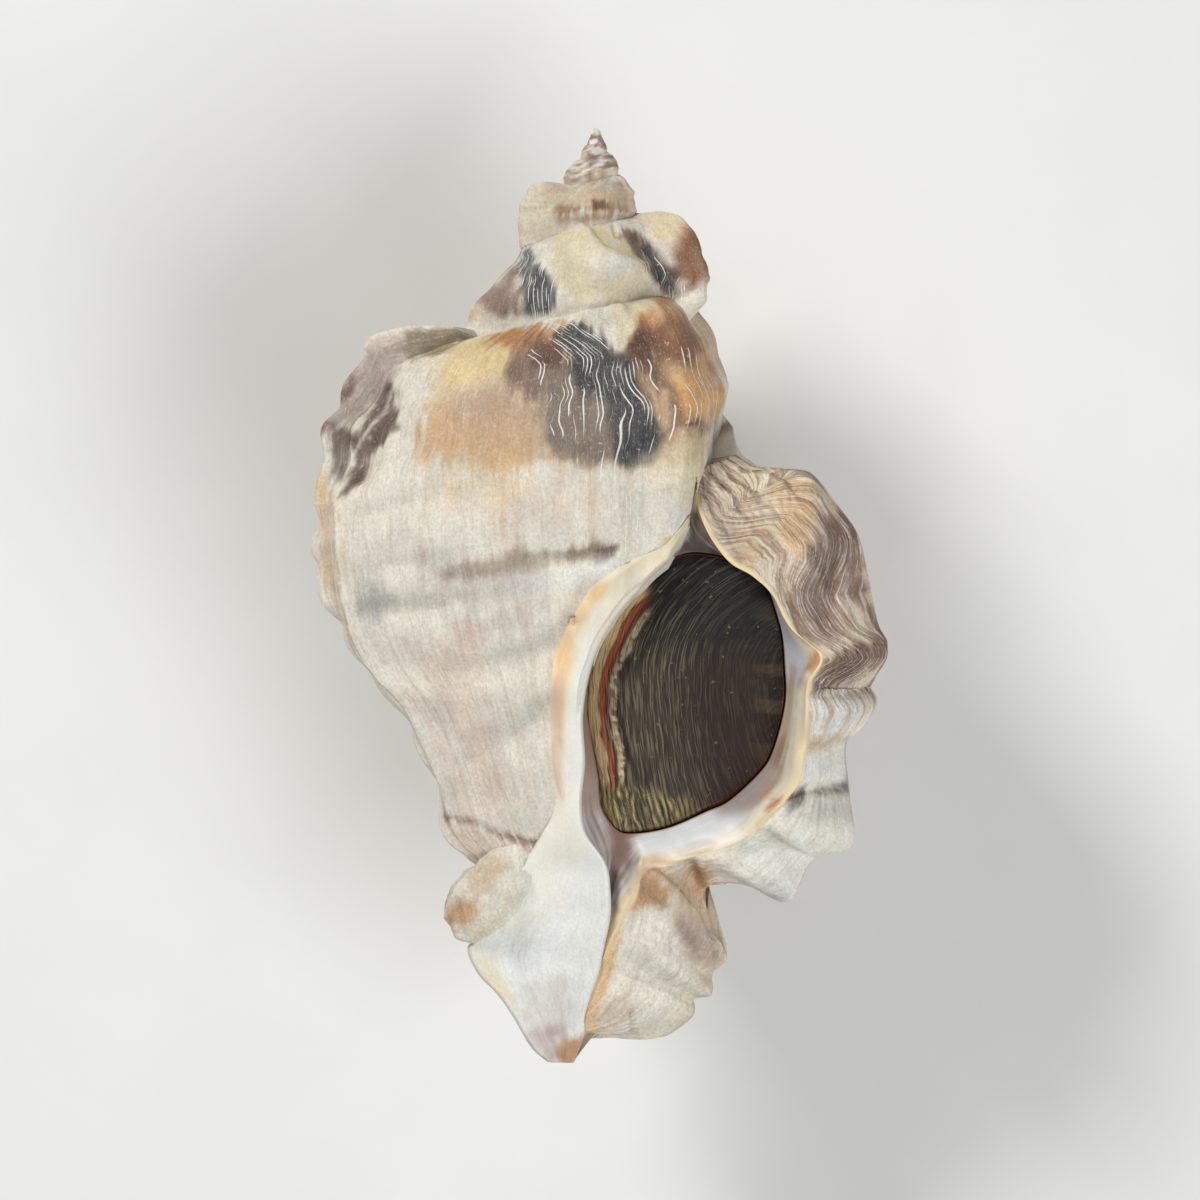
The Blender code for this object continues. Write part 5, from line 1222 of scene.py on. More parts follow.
def area_depth(rows, corners):
    """How far each point lies inside an area in plan; points outside have negative values."""
    corners = np.asarray(corners, float)
    depth = np.full(rows.shape[:2], -9.0)
    low, high = corners.min(axis=0) - 2.5, corners.max(axis=0) + 2.5
    near = np.all((rows[..., :2] > low) & (rows[..., :2] < high), axis=-1)
    points = rows[near]
    inside = np.zeros(len(points), bool)
    far = np.full(len(points), 9.0)
    for start, end in zip(corners, np.roll(corners, -1, axis=0)):
        far = np.minimum(far, line_distance(points, start, end))
        crosses = (start[1] > points[:, 1]) != (end[1] > points[:, 1])
        rise = end[1] - start[1]
        at = start[0] + (points[:, 1] - start[1]) * (end[0] - start[0]) / (rise if rise else 1e-9)
        inside ^= crosses & (points[:, 0] < at)
    depth[near] = np.where(inside, far, -far)
    return depth


def edge_offset(rows, line):
    """Distance from a line of points in plan, positive to the right of its run."""
    best = np.full(rows.shape[:2], 99.0)
    side = np.ones(rows.shape[:2])
    for start, end in zip(line[:-1], line[1:]):
        far = line_distance(rows, start, end)
        run = np.asarray(end, float) - np.asarray(start, float)
        off = rows[..., :2] - np.asarray(start, float)
        turn = np.sign(run[1] * off[..., 0] - run[0] * off[..., 1])
        side = np.where(far < best, turn, side)
        best = np.minimum(best, far)
    return best * side


def streaks_along(skin):
    """Streaks that run along the growth lines, from suture to canal."""
    age, along = skin.age, skin.along
    broad = 0.50 * noise(age / 2.2, along / 12, 25) + 0.45 * noise(age / 0.9, along / 8, 23)
    return broad + 0.40 * noise(age / 0.4, along / 5, 24)


def body_paint(skin):
    """Cream shell with tan bands and brown flames on its back; also how far it faces the front."""
    paint = Paint(skin.rows, "cream", streaks_along(skin))
    level, age = skin.level, skin.age
    front = smooth(skin.rows[..., 2], 0.5, 6.0)
    back = 1.0 - front
    flame = smooth(noise(age / 9, level * 7, 31) + 0.3 * noise(age / 3, level * 16, 32), 0.0, 0.7)
    paint.lay("tan", back * 0.75 * band(level, 0.04, 0.12, 0.3, 0.42))
    paint.lay("tan", back * 0.5 * band(level, 0.5, 0.58, 0.72, 0.85))
    paint.lay("brown", back * 0.75 * flame * (1 - smooth(level, 0.45, 0.6)))
    paint.lay("mauve", back * 0.35 * smooth(noise(age / 14, level * 9, 33), 0.1, 0.8))
    return paint, front


def early_mottle(paint):
    """Small mauve, brown and white spots on the first whorls."""
    x, y, z = np.moveaxis(paint.rows, -1, 0)
    early = smooth(y, 45.2, 47.6)
    spots = noise(x / 0.6 + 0.9 * z, y / 0.45, 91) + 0.5 * noise(x / 0.28, y / 0.24 + 0.7 * z, 92)
    paint.lay("mauve", 0.7 * early * smooth(spots, -0.3, 0.2))
    paint.lay("mauve_brown", 0.6 * early * smooth(spots, 0.15, 0.5))
    paint.lay("white", 0.85 * early * smooth(-spots, -0.05, 0.35))
    paint.lay("yellow", 0.5 * early * smooth(noise(x / 0.9, y / 0.7, 93), 0.25, 0.6))


def hair_mask(paint):
    mask = np.zeros(paint.rows.shape[:2])
    for x0, y0, x1, y1, radius, strength in HAIR_STROKES:
        far = line_distance(paint.rows, (x0, y0), (x1, y1)) / radius + 0.25 * paint.warp
        mask = np.maximum(mask, strength * (1.0 - smooth(far, 0.6, 1.3)))
    return mask


def whorl_relief(skin, name):
    """Growth layers, folds and lines of a stretch of whorl."""
    relief = growth_relief(skin) * skin.is_kind("body", "step", "under")
    if name == "spire":
        relief = relief + line_relief(skin, SPIRE_LINES)
    if name == "front":
        relief = relief + line_relief(skin, FRONT_LINES) * (skin.turn > -1.25)
    if name == "lip":
        lip = skin.is_kind("lip")
        face = lip * smooth(1.0 - skin.wing, 0.0, 0.08) * smooth(skin.wing, 0.0, 0.06)
        relief = relief + lip_relief(skin) * lip + line_relief(skin, LIP_LINES) * face
        knobs = np.exp(-((skin.wing - 0.16) / 0.13) ** 2) * skin.is_kind("wall")
        relief = relief + 0.45 * knobs * noise(skin.along / 2.1, 0.5, 17) * smooth(skin.level, 0.15, 0.3)
    return relief * smooth(skin.level, 0.0, 0.03)


def early_paint(skin, paint, front, name):
    """Colours of the spire and of the whorl in front."""
    paint.lay("cream", front)
    paint.lay("tan", 0.20 * front * smooth(streaks_along(skin), 0.1, 1.0))
    paint.lay("grey", 0.14 * front * smooth(noise(skin.age / 3, skin.along / 5, 34), 0.1, 0.8))
    if name == "spire":
        paint.areas(SPIRE_AREAS, front)
        early_mottle(paint)
        return
    paint.areas(NODULE_AREAS, front * (skin.turn < -0.86))
    paint.areas(BODY_AREAS, front * (skin.turn > -1.04) * smooth(skin.level, 0.0, 0.02))
    left_wing = front * (skin.turn > -0.8)
    paint.areas(LEFT_WING_AREAS, left_wing)
    # Painted highlight and shadow along the edge of the front lamella
    paint.strokes(WING_EDGE_LIGHT_AND_SHADE, left_wing)


def lip_paint(skin, paint, front, age, streak, gloss):
    """Colours of the lip wing, rim, inner wall and cavity, with painted shade in crevices, gaps and the
    cavity; gives their age, streaks and gloss.
    """
    lip = skin.is_kind("lip") * 1.0
    wall = (skin.kinds == "wall") * 1.0
    inside = (~skin.outer) * 1.0
    share, station, q = lamina_share(skin)
    white_lobes = smooth(station, 9.5, 11.0)
    age = np.where(lip > 0.5, 60.0 + share * read(LIP_WIDTHS, station), age)
    paint.lay("cream", lip)
    paint.lay("tan", 0.4 * lip * (1 - white_lobes))
    paint.areas(LIP_AREAS, lip)
    counts, shelves, corner = lip_layers(skin)
    face = lip * (1 - smooth(q, 0.9, 0.97))
    # Brown at the drop of each growth layer, partly the brown of the lines and partly painted shade in the
    # crevice; below it, painted shadow between the shelves at the corner
    paint.lay("brown", 0.45 * face * crevice_shade(counts[0], 0.16) * (1 - 0.9 * white_lobes))
    paint.lay("mauve_brown", 0.8 * face * corner * crevice_shade(shelves, 0.13))
    lined = 0.95 - 0.75 * white_lobes + 0.3 * smooth(station, 16.0, 18.0)
    edge = lip * smooth(q, 0.93, 0.98) + wall * (1 - smooth(skin.wing, 0.10, 0.40)) * skin.outer
    paint.lay("pearl", np.maximum(wall, inside * front))
    paint.lay("rim", edge * (0.8 + 0.3 * paint.warp))
    paint.areas(WALL_AREAS, np.maximum(wall, inside))
    paint.areas(CHANNEL_AREAS, wall)
    # Painted shade in the narrow gap round the operculum, and painted shade deep in the cavity below it
    paint.lay("gap", 0.75 * inside * wall * band(-skin.rows[..., 1], 0.0, 4.0, 22.0, 26.0))
    paint.lay("gap", 0.8 * wall * smooth(skin.wing, 0.80, 0.95))
    paint.lay("mauve_brown", 0.9 * (skin.kinds == "cavity"))
    gloss = np.maximum(np.maximum(gloss, wall), np.maximum(inside, edge))
    return age, (streak * (1 - lip) + lip * lined) * (1 - gloss), gloss


def finish_whorls(whorls, name):
    """Points of a stretch of whorl with its relief, and their colours, lines and finish."""
    skin = Skin(np.array(whorls.rows), whorls.turns, whorls.wings, whorls.kinds, len(whorls.levels))
    skin.raise_by(whorl_relief(skin, name))
    if name == "lip":
        keep_behind(skin)
    else:
        skin.rows = clear_aperture(skin.rows)
    paint, front = body_paint(skin)
    if name in ("spire", "front"):
        early_paint(skin, paint, front, name)
    age, streak, gloss = skin.age, 0.20 + 0.24 * skin.wing, 0.12 * front
    if name == "lip":
        age, streak, gloss = lip_paint(skin, paint, front, age, streak, gloss)
    lines = channels(skin.rows, age, skin.along, hair_strands(skin))
    finish = channels(skin.rows, np.clip(streak, 0, 1), hair_mask(paint) * front, gloss)
    return skin.rows, paint.colour, lines, finish


def heights_below(points, name):
    """How high a piece reaches at each point in plan, in millimetres from the axis."""
    tree = BVHTree.FromObject(bpy.data.objects[name], bpy.context.evaluated_depsgraph_get())
    above = 0.2
    down = Vector((0.0, 0.0, -1.0))
    found = [tree.ray_cast(Vector((x * MM, y * MM, above)), down)[0] for x, y, _ in points.reshape(-1, 3)]
    heights = [-AXIS_Z if hit is None else hit.z / MM - AXIS_Z for hit in found]
    return np.array(heights).reshape(points.shape[:-1])


def callus_rows(along=240, across=44):
    """Callus and left canal flap: a thick sheet, arched above and hollow below the aperture."""
    at = np.linspace(0.0, 1.0, along)
    left = curve_through(CALLUS_LEFT, at)
    right = curve_through(CALLUS_RIGHT, at)
    width = np.linalg.norm(right - left, axis=1)
    bend = CALLUS_CROWN - (CALLUS_CROWN + FLAP_HOLLOW) * smooth(at, 0.42, 0.55)
    q = np.linspace(0.0, 1.0, across)
    upper = left[:, None] + q[None, :, None] * (right - left)[:, None]
    height = upper[..., 2]
    height += np.sin(np.pi * q) * (bend * width)[:, None]
    at = at[:, None]
    height += 0.12 * noise(upper[..., 0] / 3, upper[..., 1] / 4, 41)
    plait = noise(q * 11, 3.0 * at, 42) + 0.5 * noise(q * 25, 5.0 * at, 43)
    height += 0.09 * smooth(at, 0.5, 0.65) * plait
    height -= 2.4 * (1.0 - smooth(at, 0.0, 0.24))
    height += 0.45 * smooth(at, 0.88, 0.97)
    glaze = heights_below(upper, "front_whorl") + CALLUS_GLAZE * smooth(q, 0.0, 0.3) - 0.02
    on_body = 1.0 - smooth(at, 0.50, 0.58)
    raised = np.maximum(height, glaze * on_body + height * (1 - on_body))
    upper[..., 2] = np.where(on_body > 0, raised, height)
    middle = upper - lift(0.5 * CALLUS_THICKNESS)
    round_off = (0.35 * (right - left) / width[:, None])[:, None]
    lower = upper[:, ::-1] - lift(CALLUS_THICKNESS)
    return np.concatenate([upper, middle[:, -1:] + round_off, lower, middle[:, :1] - round_off], axis=1)


def build_callus():
    rows = callus_rows()
    at = np.linspace(0.0, 1.0, rows.shape[0])[:, None]
    paint = Paint(rows, "white")
    paint.lay("ivory", 1.0 - smooth(at, 0.35, 0.55))
    paint.areas(CALLUS_AREAS)
    across = np.arange(rows.shape[1]) * 0.25
    lines = channels(rows, across + 0.4 * noise(at * 9, across / 3, 44), at * 55.0, 0)
    gloss = 0.55 + 0.3 * (1 - smooth(at, 0.45, 0.65))
    return rows, paint.colour, lines, channels(rows, 0.10 + 0.14 * smooth(at, 0.5, 0.7), 0, gloss)


def build_stub(along=90, around=120):
    """The flared stub: an oval tube that starts inside the callus and rounds off at its end."""
    shares = np.linspace(0.0, 1.0, along)
    phase = np.linspace(0.0, 2 * np.pi, around, endpoint=False)[:, None]
    rows = []
    for q, centre in zip(shares, curve_through(STUB_LINE, shares)):
        close = np.sqrt(1.0 - 0.9 * max(0.0, (q - STUB_CLOSES) / (1.0 - STUB_CLOSES)) ** 2)
        close = close * (0.75 + 0.25 * np.sin(0.5 * np.pi * min(1.0, q / 0.35)))
        wide = close * read(STUB_WIDTHS, q) * np.cos(phase) * np.array(STUB_ACROSS)
        rows.append(centre + wide + np.sin(phase) * lift(close * read(STUB_DEPTHS, q)))
    skin = Skin(np.array(rows), np.zeros(along), np.ones(along), ["body"] * along, around)
    turn = 2 * np.pi * skin.level
    ages = skin.age + 1.1 * np.sin(turn + 0.5) + 0.5 * np.sin(2 * turn + 1.0)
    folds = 0.35 * noise(skin.level * 9, ages / 3.2, 54)
    skin.raise_by(folds + 0.20 * layers(ages / 2.1, 52, 0.35) + 0.07 * layers(ages / 0.6, 53, 0.3) - 0.2)
    paint = Paint(skin.rows, "cream")
    paint.areas(STUB_AREAS)
    return skin.rows, paint.colour, channels(skin.rows, ages, skin.along, 0), channels(skin.rows, 0.3, 0, 0.1)


def build_tip(along=40, around=48):
    """Rounded cone of the first whorl at the very tip."""
    q = np.linspace(0.0, 1.0, along)[:, None]
    theta = np.linspace(0.0, 2 * np.pi, around, endpoint=False)[None, :]
    radius = TIP_RADIUS * np.sqrt(np.clip(1.0 - (1.0 - q) ** 2.6, 0.0, 1.0)) * (0.55 + 0.45 * q)
    radius = radius * (1.0 + 0.06 * np.sin(11 * q))
    high = TIP_TOP - TIP_LENGTH * q + 0 * theta
    side = TIP_CENTRE[0] + 0.1 * q
    rows = np.stack([side - radius * np.cos(theta), high, TIP_CENTRE[1] + radius * np.sin(theta)], -1)
    paint = Paint(rows, "white")
    paint.areas(SPIRE_AREAS)
    early_mottle(paint)
    return rows, paint.colour, channels(rows, high, rows[..., 0], 0), channels(rows, 0.3, 0, 0.4)


def operculum_rings(rings, around):
    """Rings of the operculum from its nucleus out over the top and back below, and their shares."""
    nucleus = np.array(OPERCULUM_NUCLEUS)
    index = np.linspace(0.0, len(OPERCULUM_OUTLINE), around, endpoint=False)
    outline = closed_curve(OPERCULUM_OUTLINE, index)
    middle = outline.mean(axis=0)
    reach = outline - middle
    angles = np.arctan2(reach[:, 1], reach[:, 0])
    order = np.argsort(angles)
    reach = np.linalg.norm(reach, axis=1)
    upper, lower = np.linspace(0.02, 1.0, rings), np.linspace(1.0, 0.02, 24)
    rows = []
    for q in upper:
        ring = nucleus + q * (outline - nucleus)
        off = ring - middle
        limit = np.interp(np.arctan2(off[:, 1], off[:, 0]), angles[order], reach[order], period=2 * np.pi)
        crown = OPERCULUM_CROWN * (1.0 - np.clip(np.linalg.norm(off, axis=1) / limit, 0, 1) ** 2)
        rows.append(np.column_stack([ring, operculum_face(ring[:, 1]) + crown - CLEARANCE]))
    for q in lower:
        ring = nucleus + q * (outline - nucleus)
        rows.append(np.column_stack([ring, operculum_face(ring[:, 1]) - OPERCULUM_THICKNESS]))
    length = np.linalg.norm(outline - nucleus, axis=1)[None, :]
    return np.array(rows), np.concatenate([upper, lower])[:, None], length


def build_operculum(rings=130, around=300):
    rows, share, length = operculum_rings(rings, around)
    x, y = rows[..., 0], rows[..., 1]
    top = (np.arange(len(rows)) < rings)[:, None]
    age = horn_age(rows)
    left = smooth(age, 13.0, 22.0)
    wiggle = noise(x / 2.5, y / 3.5, 61)
    uneven = 0.3 + 0.7 * smooth(noise(x / 1.2, y / 4.0, 65), -0.4, 0.5)
    ridge = layers(age / 0.5 + 1.2 * wiggle, 62, 0.3) * (0.04 + 0.11 * left) * uneven
    right = smooth(x, 14.0, 19.0) * smooth(-y, -1.0, 3.0)
    ripple = layers(y / 0.9 + 0.05 * x + 1.2 * wiggle, 66, 0.4)
    ridge = ridge * (1 - 0.7 * right) + 0.09 * right * ripple
    rough = horn_low(rows) * 0.55 * layers(corrugation(rows, age), 64, 0.45)
    step = 0.25 * smooth(length * (1 - share), 0.5, 1.5) * smooth(left, 0.3, 0.9)
    rows[..., 2] -= top * (0.1 + 0.22 * (1 - smooth(1 - share, 0.0, 0.03)) - ridge - rough - step + 0.36)
    colour = operculum_paint(rows, length * (1 - share), age)
    clear = smooth(age, 13.0, 20.0) * (1 - 0.6 * smooth(y, -8.0, 1.0))
    lines = channels(rows, age, y, 0.25 + 0.75 * clear)
    return rows, colour, lines, lines


def horn_age(rows):
    """Growth of the operculum, which runs in long arcs beside its left edge."""
    across = (rows[..., 0] - GROWTH_CENTRE[0]) / GROWTH_REACH[0]
    high = rows[..., 1] - GROWTH_CENTRE[1]
    return GROWTH_REACH[0] * np.hypot(across, high / np.where(high > 0, GROWTH_REACH[1], GROWTH_REACH[2]))


def horn_low(rows):
    """The worn, corrugated part along the lower left margin."""
    return smooth(-(rows[..., 1] + 0.28 * rows[..., 0] + 18.8), 0.0, 2.5) * smooth(13.5 - rows[..., 0], 0, 3)


def corrugation(rows, age):
    """Count of the rough ridges on the worn lower part."""
    return age / 0.6 + 0.45 * noise(rows[..., 0] / 0.9, rows[..., 1] / 1.3, 63)


def operculum_paint(rows, inward, age):
    """Horn of the operculum; inward is the distance of each point from the edge."""
    x, y = rows[..., 0], rows[..., 1]
    paint = Paint(rows, "horn")
    low = horn_low(rows)
    from_edge = inward + 0.15 * noise(x / 1.2, y / 1.2, 71)
    leftness = smooth(-(x - 6.5), 0.0, 2.0) * band(y, -22.0, -20.5, 1.0, 4.0)
    paint.lay("horn_olive", 0.8 * smooth(age, 14.0, 21.0) * (1 - smooth(y, -2.0, 4.0)))
    paint.lay("horn_black", 0.97 * smooth(y, -9.0, -1.0) * (1 - 0.6 * smooth(-(x - 4), 0, 3)))
    paint.lay("horn_purple", 0.8 * smooth(x, 9.0, 14.0) * smooth(-y, 12.0, 17.0))
    paint.lay("horn_right", 0.5 * smooth(x, 15.5, 19.0) * smooth(noise(x / 4.0, y / 0.8, 72), 0.0, 0.4))
    ridges = layers(corrugation(rows, age), 64, 0.45) * (0.75 + 0.5 * noise(x / 0.5, y / 1.1, 73))
    paint.lay("horn_worn", 0.85 * low)
    # Paler worn crests of the ridges, lightened further as painted highlight
    paint.lay("horn_ridge", low * smooth(ridges, 0.10, 0.6))
    paint.lay("horn_sand", 0.7 * low * (1 - smooth(from_edge, 0.5, 1.4)))
    red = 0.8 * (1 - smooth(from_edge, 0.3, 0.8))
    paint.lay("horn_red", red * smooth(x, 10, 13) * smooth(-y, 14, 18))
    from_edge = from_edge + 0.2 * noise(y / 1.4, 0.5, 74)
    for start, end, colour in MARGIN_BANDS:
        inside = band(from_edge, start - BAND_EDGE, start + BAND_EDGE, end - BAND_EDGE, end + BAND_EDGE)
        paint.lay(colour, 0.95 * inside * leftness)
    paint.lay("horn_rim", 1 - smooth(inward, 0.05, 0.22))
    grit = band(from_edge, 2.3, 2.6, 3.1, 3.4) * leftness
    grain = noise(x / 0.3, y / 0.3, 75)
    paint.lay("grit", 0.7 * grit * smooth(grain, 0.1, 0.6))
    paint.lay("pit", 0.6 * grit * smooth(-grain, 0.2, 0.6))
    return paint.colour


class Nodes:
    """Short calls to build a material's node tree."""

    def __init__(self, name):
        self.material = bpy.data.materials.new(name)
        self.material.use_nodes = True
        self.tree = self.material.node_tree
        self.tree.nodes.clear()

    def put(self, socket, value):
        if isinstance(value, bpy.types.NodeSocket):
            self.tree.links.new(value, socket)
        else:
            socket.default_value = value

    def add(self, kind, inputs=None, **settings):
        node = self.tree.nodes.new(kind)
        for key, value in settings.items():
            setattr(node, key, value)
        for key, value in (inputs or {}).items():
            self.put(node.inputs[key], value)
        return node

    def math(self, operation, a, b=0.0):
        return self.add("ShaderNodeMath", {0: a, 1: b}, operation=operation).outputs[0]

    def times(self, a, b):
        return self.math("MULTIPLY", a, b)

    def plus(self, a, b):
        return self.math("ADD", a, b)

    def remap(self, value, low, high, to_low=0.0, to_high=1.0):
        inputs = {"Value": value, "From Min": low, "From Max": high, "To Min": to_low, "To Max": to_high}
        return self.add("ShaderNodeMapRange", inputs, interpolation_type="SMOOTHSTEP").outputs[0]

    def mix(self, share, a, b, blend="MIX"):
        node = self.add("ShaderNodeMix", data_type="RGBA", blend_type=blend, clamp_factor=True)
        for socket, value in ((0, share), (6, a), (7, INKS[b] if isinstance(b, str) else b)):
            self.put(node.inputs[socket], value)
        return node.outputs[2]

    def noise(self, vector, scale, detail=3.0, roughness=0.55):
        inputs = {"Vector": vector, "Scale": scale, "Detail": detail, "Roughness": roughness}
        return self.add("ShaderNodeTexNoise", inputs).outputs["Fac"]

    def combine(self, x, y, z=0.0):
        return self.add("ShaderNodeCombineXYZ", {"X": x, "Y": y, "Z": z}).outputs[0]

    def drawn_out(self, age, across, along, lengthwise, detail, roughness=0.55):
        """Noise that is drawn out along the growth lines, by its scale across and along them."""
        place = self.combine(self.times(age, across), self.times(along, lengthwise))
        return self.noise(place, 1.0, detail, roughness)

    def place(self):
        return self.add("ShaderNodeTexCoord").outputs["Object"]

    def attribute(self, name, output="Color"):
        return self.add("ShaderNodeAttribute", attribute_name=name).outputs[output]

    def parts(self, name):
        """The three values of a stored vector."""
        split = self.add("ShaderNodeSeparateXYZ", {0: self.attribute(name, "Vector")}).outputs
        return split["X"], split["Y"], split["Z"]

    def finish(self, colour, rough, bump=None, specular=None):
        """Surface with its colour and roughness, a bump as strength, depth and height, and a shine."""
        shader = self.add("ShaderNodeBsdfPrincipled", {"Base Color": colour, "Roughness": rough})
        if bump:
            inputs = dict(zip(("Strength", "Distance", "Height"), bump))
            self.put(shader.inputs["Normal"], self.add("ShaderNodeBump", inputs).outputs[0])
            shader.inputs["Specular IOR Level"].default_value = specular
        self.add("ShaderNodeOutputMaterial", {"Surface": shader.outputs[0]})
        return self.material


def shell_material():
    n = Nodes("shell_lime")
    paint = n.attribute("paint")
    age, along, strands = n.parts("lines")
    streak, hair, gloss = n.parts("finish")
    place = n.place()
    bent = n.plus(age, n.times(n.drawn_out(age, 0.2, along, 0.22, 2.0), 1.6))
    fine = n.drawn_out(bent, 3.0, along, 0.26, 5.0, 0.7)
    broad = n.drawn_out(bent, 0.7, along, 0.10, 3.0)
    sharp = n.drawn_out(bent, 4.2, along, 0.16, 2.0, 0.6)
    felt = n.drawn_out(bent, 3.2, along, 1.2, 4.0, 0.7)
    grain = n.noise(place, 2600.0, 3.0, 0.7)
    mottle = n.noise(place, 260.0, 4.0, 0.6)

    colour = n.mix(n.times(n.remap(fine, 0.50, 0.66), n.times(streak, 0.62)), paint, "dark_line")
    shade = n.mix(1.0, colour, "broad_line", "MULTIPLY")
    colour = n.mix(n.times(n.remap(broad, 0.48, 0.66), n.times(streak, 0.55)), colour, shade)
    plates = n.times(n.remap(sharp, 0.53, 0.60), n.remap(streak, 0.45, 0.95, 0.0, 0.7))
    colour = n.mix(plates, colour, "plate")
    pale = n.times(n.remap(sharp, 0.46, 0.38), n.remap(streak, 0.45, 0.95, 0.0, 0.5))
    colour = n.mix(pale, colour, "plate_edge")
    colour = n.mix(n.times(n.remap(fine, 0.46, 0.32), n.times(streak, 0.6)), colour, "pale_line")
    near = n.math("PINGPONG", strands, 0.5)
    number = n.math("FLOOR", n.plus(strands, 0.5))
    life = n.drawn_out(number, 3.7, along, 0.10, 1.0)
    least = n.math("SUBTRACT", 0.66, n.times(hair, 0.30))
    width = n.remap(life, least, 0.64, -0.10, 0.15)
    white_hair = n.remap(n.math("SUBTRACT", near, width), 0.06, -0.04)
    colour = n.mix(n.times(white_hair, n.remap(hair, 0.04, 0.25)), colour, "hair")
    speck = n.remap(n.noise(place, 1700.0, 1.0), 0.30, 0.26, 0.0, 0.4)
    colour = n.mix(n.times(speck, n.remap(hair, 0.1, 0.4)), colour, "speck")
    matt = n.times(n.remap(gloss, 0.0, 0.5, 1.0, 0.0), 0.30)
    colour = n.mix(n.times(n.remap(felt, 0.52, 0.70), matt), colour, "felt_dark")
    colour = n.mix(n.times(n.remap(felt, 0.47, 0.32), matt), colour, "felt_pale")
    tone = n.times(n.remap(mottle, 0.3, 0.7, 0.90, 1.06), n.remap(grain, 0.3, 0.7, 0.86, 1.08))
    toned = n.mix(1.0, colour, n.combine(tone, tone, tone), "MULTIPLY")
    colour = n.mix(n.remap(gloss, 0.0, 1.0, 1.0, 0.25), colour, toned)

    rough = n.plus(n.remap(gloss, 0.0, 1.0, 0.62, 0.40), n.times(n.math("SUBTRACT", grain, 0.5), 0.15))
    plate_height = n.times(sharp, n.remap(streak, 0.45, 0.95, 0.2, 1.0))
    lines_height = n.plus(n.times(fine, 0.8), plate_height)
    rough_height = n.plus(n.times(grain, 0.35), n.times(felt, -0.7))
    relief = n.times(n.plus(lines_height, rough_height), n.remap(gloss, 0.0, 1.0, 1.0, 0.12))
    return n.finish(colour, rough, (0.55, 0.00025, relief), 0.4)


def horn_material():
    n = Nodes("horn")
    paint = n.attribute("paint")
    age, along, clear = n.parts("lines")
    place = n.place()
    bent = n.plus(age, n.times(n.noise(place, 160.0, 3.0), 1.0))
    fine = n.drawn_out(bent, 5.5, along, 0.22, 2.0, 0.6)
    grain = n.noise(place, 3000.0, 3.0, 0.7)
    light = n.mix(0.5, paint, "horn_line")
    colour = n.mix(n.times(n.remap(fine, 0.50, 0.62), n.times(clear, 0.85)), paint, light)
    colour = n.mix(n.times(n.remap(fine, 0.48, 0.38), n.times(clear, 0.6)), colour, "horn_gap")
    fleck = n.remap(n.noise(place, 1500.0, 2.0), 0.68, 0.74, 0.0, 0.5)
    colour = n.mix(fleck, colour, "horn_fleck")
    relief = n.plus(n.times(fine, 1.0), n.times(grain, 0.35))
    return n.finish(colour, n.remap(fine, 0.3, 0.7, 0.46, 0.62), (0.6, 0.0003, relief), 0.22)


def grid_faces(count, around):
    """Quads between the rows of a grid that is closed round, and the fans over its two ends."""
    i, j = np.meshgrid(np.arange(count - 1), np.arange(around), indexing="ij")
    k = (j + 1) % around
    quads = np.stack([i * around + j, (i + 1) * around + j, (i + 1) * around + k, i * around + k], -1)
    first, last = count * around, count * around + 1
    j = np.arange(around)
    k = (j + 1) % around
    start = np.stack([np.full(around, first), j, k], -1)
    end = np.stack([np.full(around, last), (count - 1) * around + k, (count - 1) * around + j], -1)
    return quads.reshape(-1, 4).tolist(), start.tolist() + end.tolist()


def with_centres(values):
    """The values of a grid's points, one after another, then those of its two end fans."""
    flat = values.reshape(-1, values.shape[-1])
    return np.vstack([flat, values[0].mean(axis=0), values[-1].mean(axis=0)])


def bake_map(mesh, rows):
    """Layout that gives each part of the surface room in step with its length."""
    count, around = rows.shape[:2]
    row_step = np.linalg.norm(np.diff(rows, axis=0), axis=2).mean(axis=1) + 0.02
    u = np.concatenate([[0.0], np.cumsum(row_step)])
    column_step = np.linalg.norm(np.roll(rows, -1, axis=1) - rows, axis=2).mean(axis=0)
    column_step = np.minimum(column_step, 2.0 * np.median(column_step)) + 0.02
    v = np.concatenate([[0.0], np.cumsum(column_step)])
    u, v = 0.01 + 0.97 * u / u[-1], 0.01 + 0.98 * v / v[-1]
    i, j = np.meshgrid(np.arange(count - 1), np.arange(around), indexing="ij")
    sides = ((i, j), (i + 1, j), (i + 1, j + 1), (i, j + 1))
    corner = np.stack([np.stack([u[a], v[b]], -1) for a, b in sides], 2)
    steps = np.arange(around)
    ends = []
    for at, tip, order in ((u[0], 0.0, (steps, steps + 1)), (u[-1], 1.0, (steps + 1, steps))):
        fan = [np.tile((tip, 0.5), (around, 1))]
        fan += [np.stack([np.full(around, at), v[step]], -1) for step in order]
        ends.append(np.stack(fan, 1))
    layer = mesh.uv_layers.new(name="OFBake")
    places = np.concatenate([part.ravel() for part in (corner, *ends)])
    layer.uv.foreach_set("vector", places.astype(np.float32))


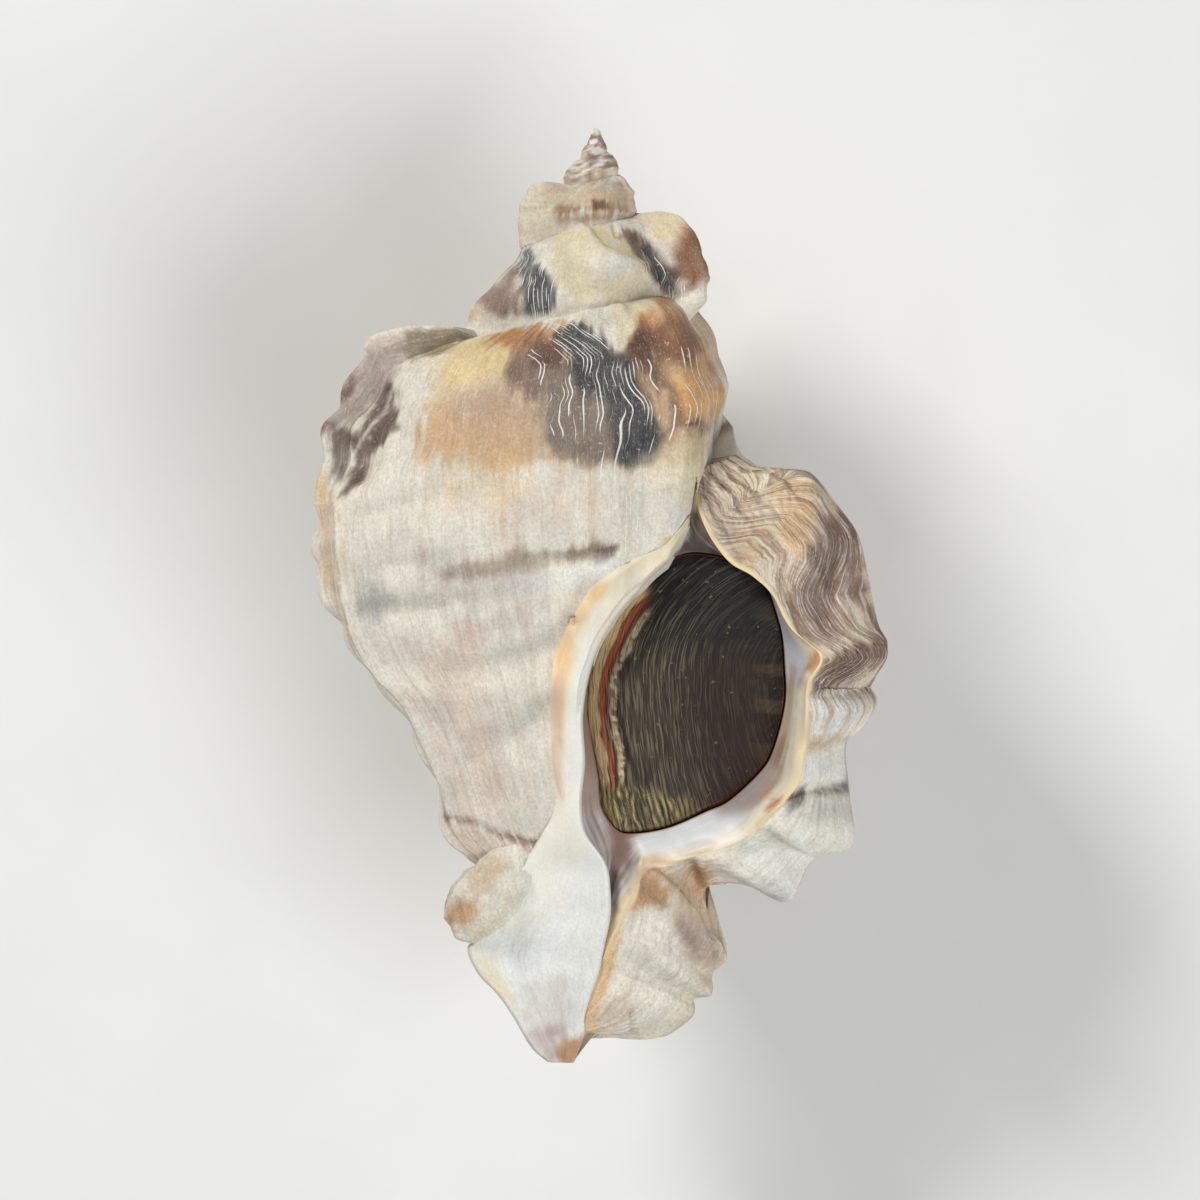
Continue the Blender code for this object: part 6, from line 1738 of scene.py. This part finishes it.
def make_piece(name, material, node, slot, rows, colour, lines, finish):
    """Mesh of a closed grid, kept within the size of the solids, with its colours and growth lines."""
    count, around = rows.shape[:2]
    rows = np.clip(rows, *(np.array(corner) / MM - lift(AXIS_Z) for corner in cad_box))
    points = (with_centres(rows) + lift(AXIS_Z)) * MM
    quads, caps = grid_faces(count, around)
    mesh = bpy.data.meshes.new(name)
    mesh.from_pydata(points.tolist(), [], quads + caps)
    mesh.update()
    bake_map(mesh, rows)
    rgba = np.ones((len(points), 4), np.float32)
    rgba[:, :3] = linear(np.clip(with_centres(colour), 0.0, 1.0))
    mesh.attributes.new("paint", "FLOAT_COLOR", "POINT").data.foreach_set("color", rgba.ravel())
    for key, values in (("lines", lines), ("finish", finish)):
        flat = with_centres(values).astype(np.float32).ravel()
        mesh.attributes.new(key, "FLOAT_VECTOR", "POINT").data.foreach_set("vector", flat)
    mesh.polygons.foreach_set("use_smooth", np.arange(len(mesh.polygons)) < len(quads))
    mesh.materials.append(material)
    piece = bpy.data.objects.new(name, mesh)
    bpy.context.scene.collection.objects.link(piece)
    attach(piece, "root")
    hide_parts(node)


def make_shell():
    material = shell_material()
    for piece, name in (("spire_whorls", "spire"), ("front_whorl", "front"),
                        ("back_left_whorl", "back_left"), ("lip_whorl", "lip")):
        make_piece(piece, material, "shell", "shell", *build_whorls(name))
    for piece, build in (("columella_callus", build_callus), ("old_canal", build_stub),
                         ("first_whorl", build_tip)):
        make_piece(piece, material, "shell", "shell", *build())


def make_operculum():
    make_piece("operculum_horn", horn_material(), "operculum", "horn", *build_operculum())


def plain_material(name, colour, roughness):
    n = Nodes(name)
    shade = [0.97 * value for value in colour]
    tone = n.mix(n.remap(n.noise(n.place(), 30.0), 0.3, 0.7), (*colour, 1.0), (*shade, 1.0))
    return n.finish(tone, roughness)


def make_floor():
    mesh = bpy.data.meshes.new("floor")
    corners = [(x * FLOOR_REACH, y * FLOOR_REACH, 0) for x, y in ((-1, -1), (1, -1), (1, 1), (-1, 1))]
    mesh.from_pydata(corners, [], [(0, 1, 2, 3)])
    mesh.materials.append(plain_material("pale_floor", (0.78, 0.78, 0.76), 0.8))
    floor = bpy.data.objects.new("floor", mesh)
    bpy.context.scene.collection.objects.link(floor)


def area_light(name, place, size, power, colour):
    light = bpy.data.lights.new(name, "AREA")
    light.size = size
    light.energy = power
    light.color = colour
    lamp = bpy.data.objects.new(name, light)
    lamp.location = place
    lamp.rotation_euler = (Vector(LAMP_AIM) - Vector(place)).to_track_quat("-Z", "Y").to_euler()
    bpy.context.scene.collection.objects.link(lamp)


def make_light():
    for lamp in LAMPS:
        area_light(*lamp)
    world = bpy.data.worlds.new("studio")
    bpy.context.scene.world = world
    world.use_nodes = True
    background = world.node_tree.nodes["Background"]
    background.inputs["Color"].default_value, background.inputs["Strength"].default_value = SKY


def make_camera():
    camera = bpy.data.cameras.new("camera")
    camera.sensor_width = SENSOR
    camera.lens = SENSOR * (CAMERA_HEIGHT - FOCUS_HEIGHT) / VIEW_WIDTH
    camera.clip_end = 10.0
    eye = bpy.data.objects.new("camera", camera)
    eye.location = (*VIEW_CENTRE, CAMERA_HEIGHT)
    bpy.context.scene.collection.objects.link(eye)
    bpy.context.scene.camera = eye


make_camera()
make_light()
make_floor()
make_shell()
make_operculum()
bpy.context.scene.view_settings.view_transform = "Standard"
